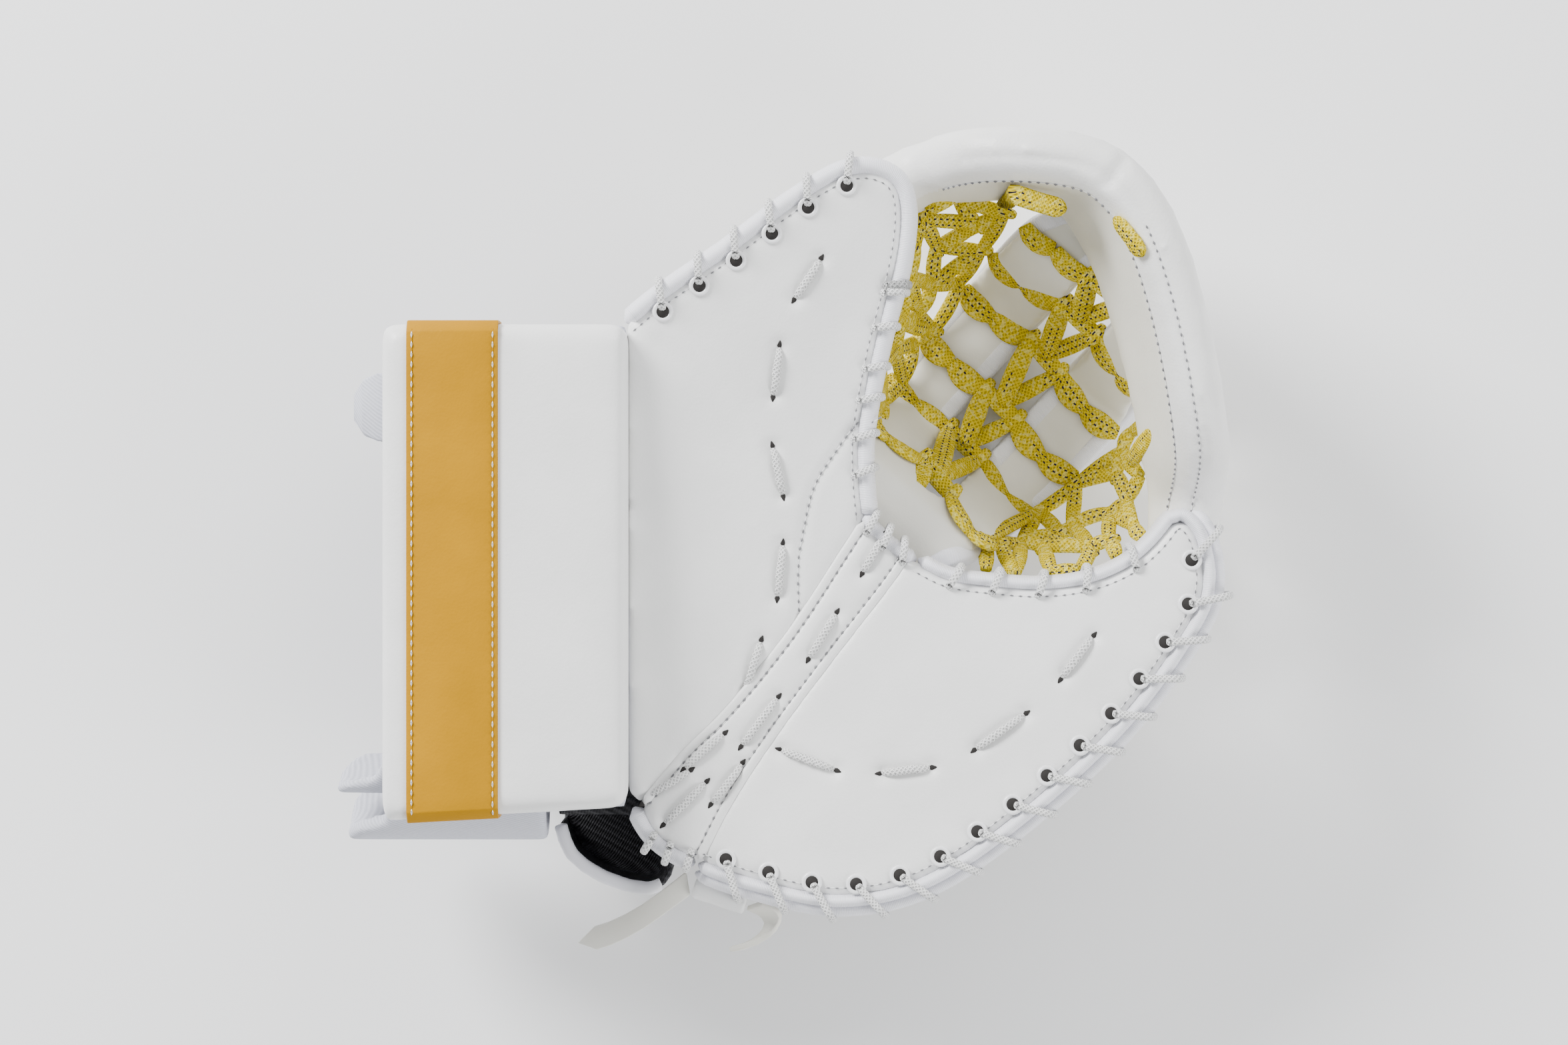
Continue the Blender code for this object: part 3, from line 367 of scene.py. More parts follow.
# %% Curves through points
def smooth(rows, per_span=8):
    """Curve through rows of numbers, as one array."""
    rows = np.array(rows, float)
    padded = np.vstack([2 * rows[0] - rows[1], rows, 2 * rows[-1] - rows[-2]])
    found = []
    for a, b, c, d in zip(padded, padded[1:], padded[2:], padded[3:]):
        for t in np.arange(per_span) / per_span:
            found.append(0.5 * (2 * b + (c - a) * t + (2 * a - 5 * b + 4 * c - d) * t**2
                                + (3 * b - a - 3 * c + d) * t**3))
    return np.vstack(found + [rows[-1]])


def outline(shares):
    """Curve through shares of the glove's width and height."""
    return smooth(np.array(shares) * (WIDE, HIGH))


def front(xy):
    """Height of the boards' front over plan points."""
    along = (CROTCH - HEEL) / np.linalg.norm(CROTCH - HEEL)
    away = (np.asarray(xy) - HEEL) @ np.array((along[1], -along[0]))
    return 0.100 + 0.018 * (away / 0.140) ** 2


def sideways(path, distance):
    """Plan path moved to its left by a distance."""
    ahead = np.gradient(path[:, :2], axis=0)
    ahead /= np.linalg.norm(ahead, axis=1)[:, None]
    return path[:, :2] + distance * np.column_stack([-ahead[:, 1], ahead[:, 0]])


def even(path, step=None, count=None):
    """Points at even steps along a path of any dimension."""
    lengths = np.concatenate([[0.0], np.cumsum(np.linalg.norm(np.diff(path, axis=0), axis=1))])
    count = count or max(3, int(round(lengths[-1] / step)) + 1)
    goals = np.linspace(0.0, 1.0, count) * lengths[-1]
    return np.column_stack([np.interp(goals, lengths, path[:, i]) for i in range(path.shape[1])])


def distance_to(path, xy):
    """Distance in plan from many points to a path."""
    best = np.full(len(xy), np.inf)
    for a, b in zip(path[:-1, :2], path[1:, :2]):
        along = b - a
        t = np.clip((xy - a) @ along / max(along @ along, 1e-12), 0.0, 1.0)
        best = np.minimum(best, np.linalg.norm(xy - a - t[:, None] * along, axis=1))
    return best


# %% Edges and seams
palm_edge = outline(PALM_EDGE)
palm_seam = outline(PALM_SEAM)
thumb_seam = outline(THUMB_SEAM)
heel_edge = outline(HEEL_EDGE)
thumb_outer = outline(THUMB_OUTER)
thumb_pocket = outline(THUMB_POCKET)
MM = 0.001
CURVED_SEAM = smooth(np.array([(37.5, 55.2), (29.9, 46.8), (22.8, 36.9), (15.9, 26.5), (12.9, 18.9), (10.2, 6.3),
                               (8.0, -6.3), (7.7, -20.2), (8.6, -32.8)]) * MM)
SHORT_SEAM = smooth(np.array([(42.0, 51.8), (37.5, 49.2), (33.7, 47.8)]) * MM)
print("palm edge", round(float(np.linalg.norm(np.diff(palm_edge, axis=0), axis=1).sum()), 3), "m")

# %% [markdown]
# ## Tools for soft pieces
# A foam board is made as a seamstress would fill it: the solid is copied, remeshed into even faces, and
# blown up a little by a cloth simulation whose movement is capped. Seams and dimples are pressed in after
# that, by moving points along their own depth.


# %% Selecting, applying, reading and writing
def select_only(piece):
    """Operators act on all that is selected, so one piece is selected alone."""
    bpy.ops.object.select_all(action="DESELECT")
    piece.select_set(True)
    bpy.context.view_layer.objects.active = piece


def apply(piece, kind, **settings):
    """Adds a modifier, sets it and applies it at once."""
    select_only(piece)
    made = piece.modifiers.new(kind.title(), kind)
    for key, value in settings.items():
        setattr(made, key, value)
    bpy.ops.object.modifier_apply(modifier=made.name)


def read(piece, what="co"):
    """All points of a piece as an array, or their normals."""
    found = np.empty(3 * len(piece.data.vertices), np.float32)
    piece.data.vertices.foreach_get(what, found)
    return found.reshape(-1, 3).astype(float)


def write(piece, places):
    """Puts an array of points back."""
    piece.data.vertices.foreach_set("co", np.asarray(places, np.float32).ravel())
    piece.data.update()


# %% [markdown]
# Air in a closed cloth pushes the leather out between its seams, as foam does. The simulation also crumples
# the skin and lets it slide, so only its outward push is kept. That push fades out near a seam and is averaged
# over neighbours, and nothing sinks below the lowest point, where the piece rests on the floor.


# %% Air under the leather
PRESSURE = 4.0
FRAMES = 20


def ease(share):
    """Share from 0 to 1 with soft ends."""
    share = np.clip(share, 0.0, 1.0)
    return share * share * (3 - 2 * share)


def blow_up(piece, cap, held):
    """Cloth with air in it. A point keeps its outward move, up to cap, and less near a seam.

    held lists plan paths with the distance that stays still and the distance over which the move returns.
    """
    before, facing = read(piece), read(piece, "normal")
    cloth = piece.modifiers.new("Cloth", "CLOTH")
    cloth.settings.use_pressure = True
    cloth.settings.uniform_pressure_force = PRESSURE
    cloth.settings.effector_weights.gravity = 0.0
    cloth.point_cache.frame_start = 1
    cloth.point_cache.frame_end = FRAMES
    for number in range(1, FRAMES + 1):
        bpy.context.scene.frame_set(number)
    select_only(piece)
    bpy.ops.object.modifier_apply(modifier="Cloth")
    bpy.context.scene.frame_set(1)
    outward = np.clip(((read(piece) - before) * facing).sum(axis=1), 0.0, cap)
    for path, still, reach in held:
        outward *= ease((distance_to(path, before[:, :2]) - still) / reach)
    ends = np.empty(2 * len(piece.data.edges), np.int32)
    piece.data.edges.foreach_get("vertices", ends)
    first, second = ends.reshape(-1, 2).T
    meeting = np.bincount(ends, minlength=len(before))
    for _ in range(8):
        around = (np.bincount(first, outward[second], len(before))
                  + np.bincount(second, outward[first], len(before)))
        outward = 0.5 * outward + 0.5 * around / meeting
    places = before + outward[:, None] * facing
    places[:, 2] = np.maximum(places[:, 2], before[:, 2].min())
    write(piece, places)


# %% [markdown]
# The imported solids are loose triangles, so a copy is merged first. A voxel remesh then gives even faces, which
# cloth needs, and smoothing takes the steps off. It also shrinks the piece a little, and that is given back
# along the normals.


# %% Copies of the solids
def merged_copy(name, node):
    """Copy of a node's mesh with its loose triangles joined."""
    piece = bpy.data.objects.new(name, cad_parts[node].data.copy())
    bpy.context.scene.collection.objects.link(piece)
    select_only(piece)
    bpy.ops.object.mode_set(mode="EDIT")
    bpy.ops.mesh.select_all(action="SELECT")
    bpy.ops.mesh.remove_doubles(threshold=0.00001)
    bpy.ops.object.mode_set(mode="OBJECT")
    return piece


def soft_copy(name, node, voxel, cap=0.0, levels=1, rounds=3, grow=0.0, held=()):
    """Even, soft copy of a node's solid; grow gives back what the smoothing took."""
    piece = merged_copy(name, node)
    apply(piece, "REMESH", mode="VOXEL", voxel_size=voxel)
    apply(piece, "SMOOTH", factor=0.5, iterations=rounds)
    if cap:
        blow_up(piece, cap, held)
    write(piece, read(piece) + grow * read(piece, "normal"))
    if levels:
        apply(piece, "SUBSURF", levels=levels, render_levels=levels)
    bpy.ops.object.shade_smooth()
    return piece


# %% Finishing and pressing
def keep(piece, finish, replaces=()):
    """Gives a finished piece its material and tells the frame what it is."""
    piece.data.materials.clear()
    piece.data.materials.append(finish)
    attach(piece, "root")
    if replaces:
        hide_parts(*replaces)
    print(piece.name, len(piece.data.polygons), "faces")
    return piece


def press(piece, marks):
    """Moves front points down: each mark is a path, a depth and a width."""
    places, facing = read(piece), read(piece, "normal")
    up = np.clip((facing[:, 2] - 0.3) / 0.4, 0.0, 1.0)
    for path, depth, width in marks:
        places[:, 2] -= up * depth * np.exp(-(distance_to(path, places[:, :2]) / width) ** 2)
    write(piece, places)


# %% [markdown]
# ## Tools for laces and bindings
# A lace, a rolled binding and a row of stitches are all one thing: a small section carried along a route.
# The section may be flat or round, may swell and narrow, and closes at both ends.


# %% Routes with a section
class Bundle:
    """Collects laces and builds them as one piece with a UV map in metres."""

    def __init__(self):
        self.points, self.faces, self.uvs = [], [], []
        self.count = 0

    def add(self, path, up, wide, thick, sides=12, square=1.0, tip=0.0):
        """One lace along a path: half width and half thickness, how square its section is, how long its tips."""
        path = np.asarray(path, float)
        number = len(path)
        ahead = np.gradient(path, axis=0)
        ahead /= np.linalg.norm(ahead, axis=1)[:, None]
        up = np.broadcast_to(np.asarray(up, float), (number, 3))
        side = np.cross(ahead, up)
        side /= np.linalg.norm(side, axis=1)[:, None]
        rise = np.cross(side, ahead)
        lengths = np.concatenate([[0.0], np.cumsum(np.linalg.norm(np.diff(path, axis=0), axis=1))])
        wide = np.broadcast_to(np.asarray(wide, float), (number,)).copy()
        thick = np.broadcast_to(np.asarray(thick, float), (number,)).copy()
        if tip:
            near = np.clip(np.minimum(lengths, lengths[-1] - lengths) / tip, 0.0, 1.0)
            shrink = np.sqrt(np.clip(1.0 - (1.0 - near) ** 2, 0.04, 1.0))
            wide, thick = wide * shrink, thick * shrink
        angles = 2 * math.pi * np.arange(sides) / sides
        c, s = np.cos(angles), np.sin(angles)
        c, s = np.sign(c) * abs(c) ** square, np.sign(s) * abs(s) ** square
        rings = (path[:, None] + side[:, None] * (wide[:, None] * c)[:, :, None]
                 + rise[:, None] * (thick[:, None] * s)[:, :, None])
        base = self.count
        self.points.append(rings.reshape(-1, 3))
        self.points.append(path[[0, -1]])
        self.count += number * sides + 2
        ring = np.column_stack([wide.mean() * c, thick.mean() * s])
        v = np.concatenate([[0.0], np.cumsum(np.linalg.norm(np.roll(ring, -1, axis=0) - ring, axis=1))])
        v -= np.interp(sides / 4, np.arange(sides + 1), v)
        for i in range(number - 1):
            for j in range(sides):
                k = (j + 1) % sides
                self.faces.append([base + i * sides + j, base + i * sides + k, base + (i + 1) * sides + k,
                                   base + (i + 1) * sides + j])
                self.uvs += [(lengths[i], v[j]), (lengths[i], v[j + 1]), (lengths[i + 1], v[j + 1]),
                             (lengths[i + 1], v[j])]
        last = base + (number - 1) * sides
        for j in range(sides):
            k = (j + 1) % sides
            self.faces.append([base + k, base + j, base + number * sides])
            self.faces.append([last + j, last + k, base + number * sides + 1])
            self.uvs += [(0.0, v[j + 1]), (0.0, v[j]), (0.0, 0.0)]
            self.uvs += [(lengths[-1], v[j]), (lengths[-1], v[j + 1]), (lengths[-1], 0.0)]

    def build(self, name):
        """All laces as one piece, with its normals outwards."""
        mesh = bpy.data.meshes.new(name)
        mesh.from_pydata(np.vstack(self.points).tolist(), [], self.faces)
        layer = mesh.uv_layers.new(name="UVMap")
        layer.data.foreach_set("uv", np.array(self.uvs, np.float32).ravel())
        piece = bpy.data.objects.new(name, mesh)
        bpy.context.scene.collection.objects.link(piece)
        select_only(piece)
        bpy.ops.object.mode_set(mode="EDIT")
        bpy.ops.mesh.select_all(action="SELECT")
        bpy.ops.mesh.normals_make_consistent(inside=False)
        bpy.ops.object.mode_set(mode="OBJECT")
        bpy.ops.object.shade_smooth()
        return piece


# %% [markdown]
# Laces and threads lie on leather that has been blown up and pressed, so their height isn't known beforehand.
# A ray from above finds it, and gives the direction that the leather faces there.


# %% Finding the leather, and stitches on it
class Ground:
    """Finished pieces that stitches and laces are laid on from above."""

    def __init__(self, pieces):
        points, faces, start = [], [], 0
        for piece in pieces:
            points += [v.co.copy() for v in piece.data.vertices]
            faces += [[start + i for i in face.vertices] for face in piece.data.polygons]
            start = len(points)
        self.tree = BVHTree.FromPolygons(points, faces)

    def lay(self, xy, lift):
        """Points on the surface under a plan path, lifted along its direction, and those directions."""
        places, facing = [], []
        for x, y in np.asarray(xy)[:, :2]:
            spot, normal, _, _ = self.tree.ray_cast(Vector((x, y, 0.4)), Vector((0.0, 0.0, -1.0)))
            if spot is None:
                spot, normal = Vector((x, y, float(front((x, y))))), Vector((0.0, 0.0, 1.0))
            places.append(spot + lift * normal)
            facing.append(normal)
        return np.array(places), np.array(facing)


def stitch(threads, shades, path, facing, step=0.0036, length=0.0019, radius=0.00046):
    """A row of short threads over a thin shaded line; facing is scaled down so that step runs along the path."""
    shades.add(even(path, step=0.004), facing.mean(axis=0), 0.00022, 0.00012, sides=6)
    rows = even(np.hstack([path, facing * MM]), step=step)
    for row, following in zip(rows, rows[1:]):
        share = length / max(np.linalg.norm(following[:3] - row[:3]), 1e-6)
        end = row[:3] + (following[:3] - row[:3]) * min(share, 0.9)
        bend = 0.5 * (row[:3] + end) + 0.25 * row[3:]
        threads.add([row[:3], bend, end], row[3:], radius, radius, sides=6, tip=0.0005)


threads, shades = Bundle(), Bundle()

# %% [markdown]
# ## The boards of palm, strip and thumb
# Each board is stiff foam under leather. Its own leather is drawn in a little wherever a lace dives through,
# and a seam lies in a groove. The palm carries one long curved seam, and the strip between palm and thumb
# is where the glove folds.

# %% Where the flat lace dives through the front
PALM_LACES = np.array([
    [(16.7, 115.7), (6.6, 100.2)], [(0.1, 80.1), (-2.4, 60.6)], [(-2.6, 39.1), (1.5, 20.0)],
    [(1.5, -0.8), (-0.7, -21.9)], [(-7.6, -40.5), (-14.1, -59.3)], [(-22.9, -78.5), (-38.5, -92.2)],
    [(-36.8, -93.5), (-55.4, -106.6)],
]) * MM
STRIP_LACES = np.array([
    [(43.0, 3.3), (34.5, -11.7)], [(23.3, -29.0), (12.4, -47.0)], [(-0.7, -63.7), (-15.2, -82.9)],
    [(-15.5, -90.8), (-27.5, -106.6)], [(-30.3, -98.4), (-47.0, -115.1)],
]) * MM
THUMB_LACES = np.array([
    [(0.9, -85.0), (22.8, -92.9)], [(41.9, -94.2), (61.8, -91.9)], [(80.5, -84.2), (100.4, -70.0)],
    [(115.6, -55.0), (128.2, -38.4)],
]) * MM


def dimples(laces):
    """Marks for press: a soft trough under each lace and a pit at each end."""
    marks = [(even(pair, count=6), 0.0009, 0.0032) for pair in laces]
    return marks + [(np.array([end, end + 1e-5]), 0.0011, 0.0030) for pair in laces for end in pair]


print("flat laces", len(PALM_LACES) + len(STRIP_LACES) + len(THUMB_LACES))

# %% [markdown]
# The move is held along each board's seams, so the leather crowns between them and its edges still meet the
# bindings.

# %% Palm, strip and thumb
STILL, RETURN = 0.008, 0.030
STRIP_STILL, STRIP_RETURN = 0.002, 0.010
palm = soft_copy("palm_board", "palm", 0.0032, cap=0.0015, grow=0.0005,
                 held=[(path, STILL, RETURN) for path in (palm_edge, palm_seam)])
press(palm, dimples(PALM_LACES) + [(CURVED_SEAM, 0.0012, 0.0018), (SHORT_SEAM, 0.0008, 0.0016)])
keep(palm, WHITE, ["palm"])
strip = soft_copy("fold_strip", "break_strip", 0.0032, cap=0.0010, grow=0.0007,
                  held=[(path, STRIP_STILL, STRIP_RETURN) for path in (palm_seam, thumb_seam)])
press(strip, dimples(STRIP_LACES))
keep(strip, WHITE, ["break_strip"])
thumb = soft_copy("thumb_board", "thumb", 0.0032, cap=0.0015, grow=0.0005,
                  held=[(path, STILL, RETURN) for path in (thumb_outer, thumb_pocket, thumb_seam)])
press(thumb, dimples(THUMB_LACES))
keep(thumb, WHITE, ["thumb"])
keep(soft_copy("thumb_back_layer", "thumb_back", 0.0034, cap=0.0015), WHITE, ["thumb_back"])
fronts = Ground([palm, strip, thumb])

# %% [markdown]
# ## The cuff
# The cuff is a thick board over the wrist with a bright band sewn round its free end. Its back is grey nylon
# and three wings fold down from it round the wrist.

# %% Cuff, lining and wings
BAND_CLEAR, CUFF_RETURN = 0.002, 0.020
band_low, band_high = (np.array(corner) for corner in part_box("cuff_band"))
band_middle = 0.5 * (band_low + band_high)[0]
band_line = np.array([(band_middle, band_low[1] - 0.05), (band_middle, band_high[1] + 0.05)])
cuff = soft_copy("cuff_pad", "cuff_board", 0.0036, cap=0.0015, grow=0.0006,
                 held=[(band_line, band_high[0] - band_middle + BAND_CLEAR, CUFF_RETURN)])
keep(cuff, WHITE, ["cuff_board"])
keep(soft_copy("cuff_back", "cuff_lining", 0.0022, levels=0, rounds=2), NYLON,
     ["cuff_lining"])
for name in ("cuff_wing_finger", "cuff_wing_inner", "cuff_wing_thumb"):
    wing = soft_copy(name.replace("cuff_", "nylon_"), name, 0.0018, cap=0.0008, levels=0, rounds=5, grow=0.0002)
    keep(wing, NYLON, [name])


# %% [markdown]
# The band is thin leather with cut edges, which a remesh would eat away. It and the straps keep the solid's
# own shape, and a narrow bevel catches the light along their edges. Two rows of long stitches hold the band.


# %% Band
def crisp_copy(name, node, bevel):
    """Copy of a thin node with its edges rounded."""
    piece = merged_copy(name, node)
    bpy.ops.object.mode_set(mode="EDIT")
    bpy.ops.mesh.select_all(action="SELECT")
    bpy.ops.mesh.tris_convert_to_quads()
    bpy.ops.object.mode_set(mode="OBJECT")
    apply(piece, "BEVEL", width=bevel, segments=2, limit_method="ANGLE", angle_limit=math.radians(40))
    select_only(piece)
    bpy.ops.object.shade_smooth_by_angle(angle=math.radians(35))
    return piece


THREAD_INSET = 0.0022
band = crisp_copy("yellow_band", "cuff_band", 0.0005)
keep(band, YELLOW, ["cuff_band"])
band_threads, band_shades = Bundle(), Bundle()
for x in (band_low[0] + THREAD_INSET, band_high[0] - THREAD_INSET):
    line = np.column_stack([np.full(70, x), np.linspace(band_low[1] + 0.004, band_high[1] - 0.004, 70)])
    places, facing = Ground([band]).lay(line, 0.0003)
    stitch(band_threads, band_shades, places, facing, step=0.0040, length=0.0028, radius=0.00042)

keep(band_threads.build("band_threads"), LACE)
keep(band_shades.build("band_thread_holes"), YELLOW)

# %% [markdown]
# ## The padded rim
# The rim is a roll of leather over foam, and its inner wall leans in under the pocket. Two lines of stitches
# run along it, the leather creases beside them, and at the upper corner it folds.

# %% Rim
RIM_LINE = smooth(np.array([
    (0.055, 0.428), (0.105, 0.467), (0.143, 0.488), (0.184, 0.499), (0.230, 0.503), (0.293, 0.500),
    (0.345, 0.489), (0.382, 0.468), (0.416, 0.429), (0.440, 0.380), (0.459, 0.322), (0.476, 0.250),
    (0.490, 0.172), (0.499, 0.110), (0.500, 0.076), (0.497, 0.044), (0.490, 0.005), (0.476, -0.035),
]) * (WIDE, HIGH), 6)
rim = soft_copy("padded_rim", "perimeter", 0.0040, cap=0.0015)
OUTER_SEAM, INNER_SEAM = 0.0135, 0.0225
seam_one, seam_two = sideways(RIM_LINE, -OUTER_SEAM), sideways(RIM_LINE, -INNER_SEAM)
fold = np.array([(149.0, 170.0), (141.0, 157.0), (133.0, 146.0)]) * MM
press(rim, [(seam_one[20:], 0.0010, 0.0016), (seam_two[14:], 0.0014, 0.0022), (smooth(fold), 0.0020, 0.0030)])
keep(rim, RIM, ["perimeter"])
rim.data.materials.append(CREAM)
centres = np.array([face.center for face in rim.data.polygons])
inner_wall = (distance_to(RIM_LINE, centres[:, :2]) > INNER_SEAM).astype(np.int32)
rim.data.polygons.foreach_set("material_index", inner_wall)
rim_ground = Ground([rim])
for line in (seam_one[52:96], seam_two[16:96]):
    stitch(threads, shades, *rim_ground.lay(even(line, step=0.003), 0.0002), step=0.0036)

# %% [markdown]
# ## Rolled bindings
# Every board's edge is wrapped in ribbon, which makes an upright roll taller than it is wide. Round the thumb
# there are two rolls, the outer one a little lower.


# %% Rolls
ROLL_DEEP = 0.0250


def roll(name, node, path, outwards, half_wide, above):
    """Upright roll along a board's edge; outwards is how far its middle lies from the edge."""
    plan_path = even(sideways(path, outwards), step=0.003)
    height = front(plan_path) + above - 0.5 * ROLL_DEEP
    made = Bundle()
    made.add(np.column_stack([plan_path, height]), (0, 0, 1), half_wide, 0.5 * ROLL_DEEP, sides=20, square=0.8,
             tip=0.004)
    keep(made.build(name), BINDING, [node])


roll("palm_roll", "palm_binding", palm_edge, 0.0018, 0.0042, 0.0012)
thumb_path = np.vstack([thumb_outer, thumb_pocket])
roll("thumb_roll", "thumb_binding", thumb_path, -0.0018, 0.0032, 0.0012)
outer_roll = Bundle()
low_path = even(sideways(thumb_outer, -0.0058), step=0.003)
outer_roll.add(np.column_stack([low_path, front(low_path) - 0.0145]), (0, 0, 1), 0.0032, 0.0115, sides=20,
               square=0.8, tip=0.006)
keep(outer_roll.build("thumb_outer_roll"), BINDING)
roll("heel_roll", "heel_binding", heel_edge, -0.0022, 0.0040, 0.0010)
crotch_path = smooth(np.array([(0.093, 0.040), (0.100, 0.022), (0.116, 0.004), (0.134, -0.012), (0.152, -0.022)])
                     * (WIDE, HIGH))
roll("crotch_roll", "crotch_binding", crotch_path, 0.0004, 0.0034, 0.0012)

# %% [markdown]
# ## Eyelets
# An eyelet is a turned metal ring with a white coat. One is made from a ring and a tube, then copied to each
# hole and tipped to lie flat on the board.

# %% One eyelet
bpy.ops.object.select_all(action="DESELECT")
bpy.ops.mesh.primitive_torus_add(major_radius=0.0034, minor_radius=0.0009, major_segments=28, minor_segments=10)
ring = bpy.context.object
bpy.ops.object.mode_set(mode="EDIT")
bpy.ops.mesh.select_all(action="SELECT")
bpy.ops.transform.resize(value=(1.0, 1.0, 0.75))
bpy.ops.object.mode_set(mode="OBJECT")
bpy.ops.object.select_all(action="DESELECT")
bpy.ops.mesh.primitive_cylinder_add(vertices=28, radius=0.0030, depth=0.005, location=(0.0, 0.0, -0.0027),
                                    end_fill_type="NOTHING")
barrel = bpy.context.object
apply(barrel, "SOLIDIFY", thickness=0.0005, offset=-1.0)
ring.select_set(True)
bpy.context.view_layer.objects.active = ring
bpy.ops.object.join()
bpy.ops.object.shade_smooth()
ring.name = "eyelet_model"
print("eyelet", len(ring.data.polygons), "faces")


# %% Eyelets in their holes
def facing_at(xy):
    """Direction that the boards' front faces at a plan point."""
    step = 0.001
    x_slope = (front(xy + (step, 0)) - front(xy - (step, 0))) / (2 * step)
    y_slope = (front(xy + (0, step)) - front(xy - (0, step))) / (2 * step)
    return Vector((-x_slope, -y_slope, 1.0)).normalized()


hole_shade_discs = Bundle()
eyelets = {"palm": [], "thumb": []}
for node in sorted(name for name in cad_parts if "_eyelet_" in name):
    low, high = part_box(node)
    spot = np.array(((low[0] + high[0]) / 2, (low[1] + high[1]) / 2))
    normal = facing_at(spot)
    piece = bpy.data.objects.new("ring_" + node, ring.data.copy())
    bpy.context.scene.collection.objects.link(piece)
    piece.location = (*spot, float(front(spot)) + 0.0010)
    piece.rotation_euler = normal.to_track_quat("Z", "Y").to_euler()
    select_only(piece)
    bpy.ops.object.transform_apply(location=True, rotation=True, scale=True)
    piece.data.materials.append(ENAMEL)
    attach(piece, "root")
    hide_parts(node)
    eyelets[node.split("_")[0]].append(spot)
    # A dark disc in each eyelet is painted shade in its hole.
    middle = np.array((*spot, float(front(spot)) + 0.0009))
    hole_shade_discs.add([middle - 0.0004 * np.array(normal), middle + 0.0004 * np.array(normal)], (0, 1, 0), 0.0028, 0.0028,
             sides=16)
bpy.data.objects.remove(ring)
print("eyelets", {side: len(found) for side, found in eyelets.items()})

# %% [markdown]
# ## White lacing
# One flat white lace whips the rolls to the boards: it comes up through an eyelet, crosses the roll and goes
# down behind it. Another runs in and out of the front as long flat stitches that end in short slits, painted as
# dark shade.


# %% Lace over a roll
def whip(bundle, start, direction, reach, half=0.0016, drop=0.024):
    """Lace from a plan point, over a roll whose outer side is reach away, and down behind it."""
    direction = direction / np.linalg.norm(direction)
    stops = [(0.0013, -0.0030), (0.0014, 0.0008), (0.0030, 0.0028), (0.55 * reach, 0.0034),
             (0.86 * reach, 0.0020), (reach + 0.0004, -0.0050), (reach + 0.0002, -0.6 * drop),
             (reach - 0.0030, -drop), (reach - 0.0080, -drop - 0.0010)]
    rows = []
    for away, height in stops:
        spot = start + direction * away
        rows.append((*spot, float(front(spot)) + height))
    path = even(smooth(rows, 5), step=0.0011)
    across = np.array((-direction[1], direction[0], 0.0))
    ahead = np.gradient(path, axis=0)
    up = np.cross(across, ahead)
    up *= np.sign((up @ np.array((*direction, 0.6)))[:, None])
    bundle.add(path, up, half, 0.00115, sides=10, square=0.9, tip=0.002)


def heading(path, spot, side):
    """Direction along a path near a point, and the one away from the board."""
    nearest = int(np.argmin(np.linalg.norm(path[:, :2] - spot, axis=1)))
    nearest = min(max(nearest, 1), len(path) - 2)
    ahead = path[nearest + 1, :2] - path[nearest - 1, :2]
    ahead /= np.linalg.norm(ahead)
    return ahead, side * np.array((-ahead[1], ahead[0]))


lacing = Bundle()
for spot in eyelets["palm"]:
    ahead, away = heading(palm_edge, spot, 1)
    course = 0.85 * away + 0.5 * ahead
    whip(lacing, spot, course, 0.0115 / max(0.3, float(course @ away) / np.linalg.norm(course)))
for spot in eyelets["thumb"]:
    ahead, away = heading(thumb_outer, spot, -1)
    course = away + 0.75 * ahead
    whip(lacing, spot, course, 0.0142 / (float(course @ away) / np.linalg.norm(course)))
HEEL_WHIPS = np.array([[(-50.5, -118.4), (-56.4, -128.1)], [(-44.1, -122.0), (-47.3, -132.0)],
                       [(-35.6, -124.9), (-39.5, -137.9)]]) * MM
for start, end in HEEL_WHIPS:
    whip(lacing, start, end - start, 0.0098)
keep(lacing.build("edge_lacing"), LACE)

# %% [markdown]
# Round the pocket the same lace is sewn straight through the boards, without eyelets, and a little narrower.

# %% Whips round the pocket's edge
PALM_WHIPS = np.array([(55.4, 126.3), (53.8, 111.9), (51.1, 99.1), (47.3, 84.7), (44.6, 70.2), (41.9, 55.8),
                       (39.7, 41.3), (38.9, 26.8)]) * MM
THUMB_WHIPS = np.array([(70.9, -9.3), (88.1, -14.2), (105.2, -16.6), (123.2, -13.3), (140.6, -3.8)]) * MM
CROTCH_WHIPS = np.array([(40.4, 8.2), (46.4, 1.6), (53.2, -4.6)]) * MM
pocket_lacing = Bundle()
for spots, path, side in ((PALM_WHIPS, palm_edge[60:], 1), (THUMB_WHIPS, thumb_pocket, -1),
                          (CROTCH_WHIPS, crotch_path, 1)):
    for spot in spots:
        nearest = path[int(np.argmin(np.linalg.norm(path[:, :2] - spot, axis=1))), :2]
        ahead, away = heading(path, nearest, side)
        whip(pocket_lacing, nearest - 0.0045 * away, away - 0.35 * ahead, 0.0112, half=0.0016)
keep(pocket_lacing.build("pocket_lacing"), LACE)
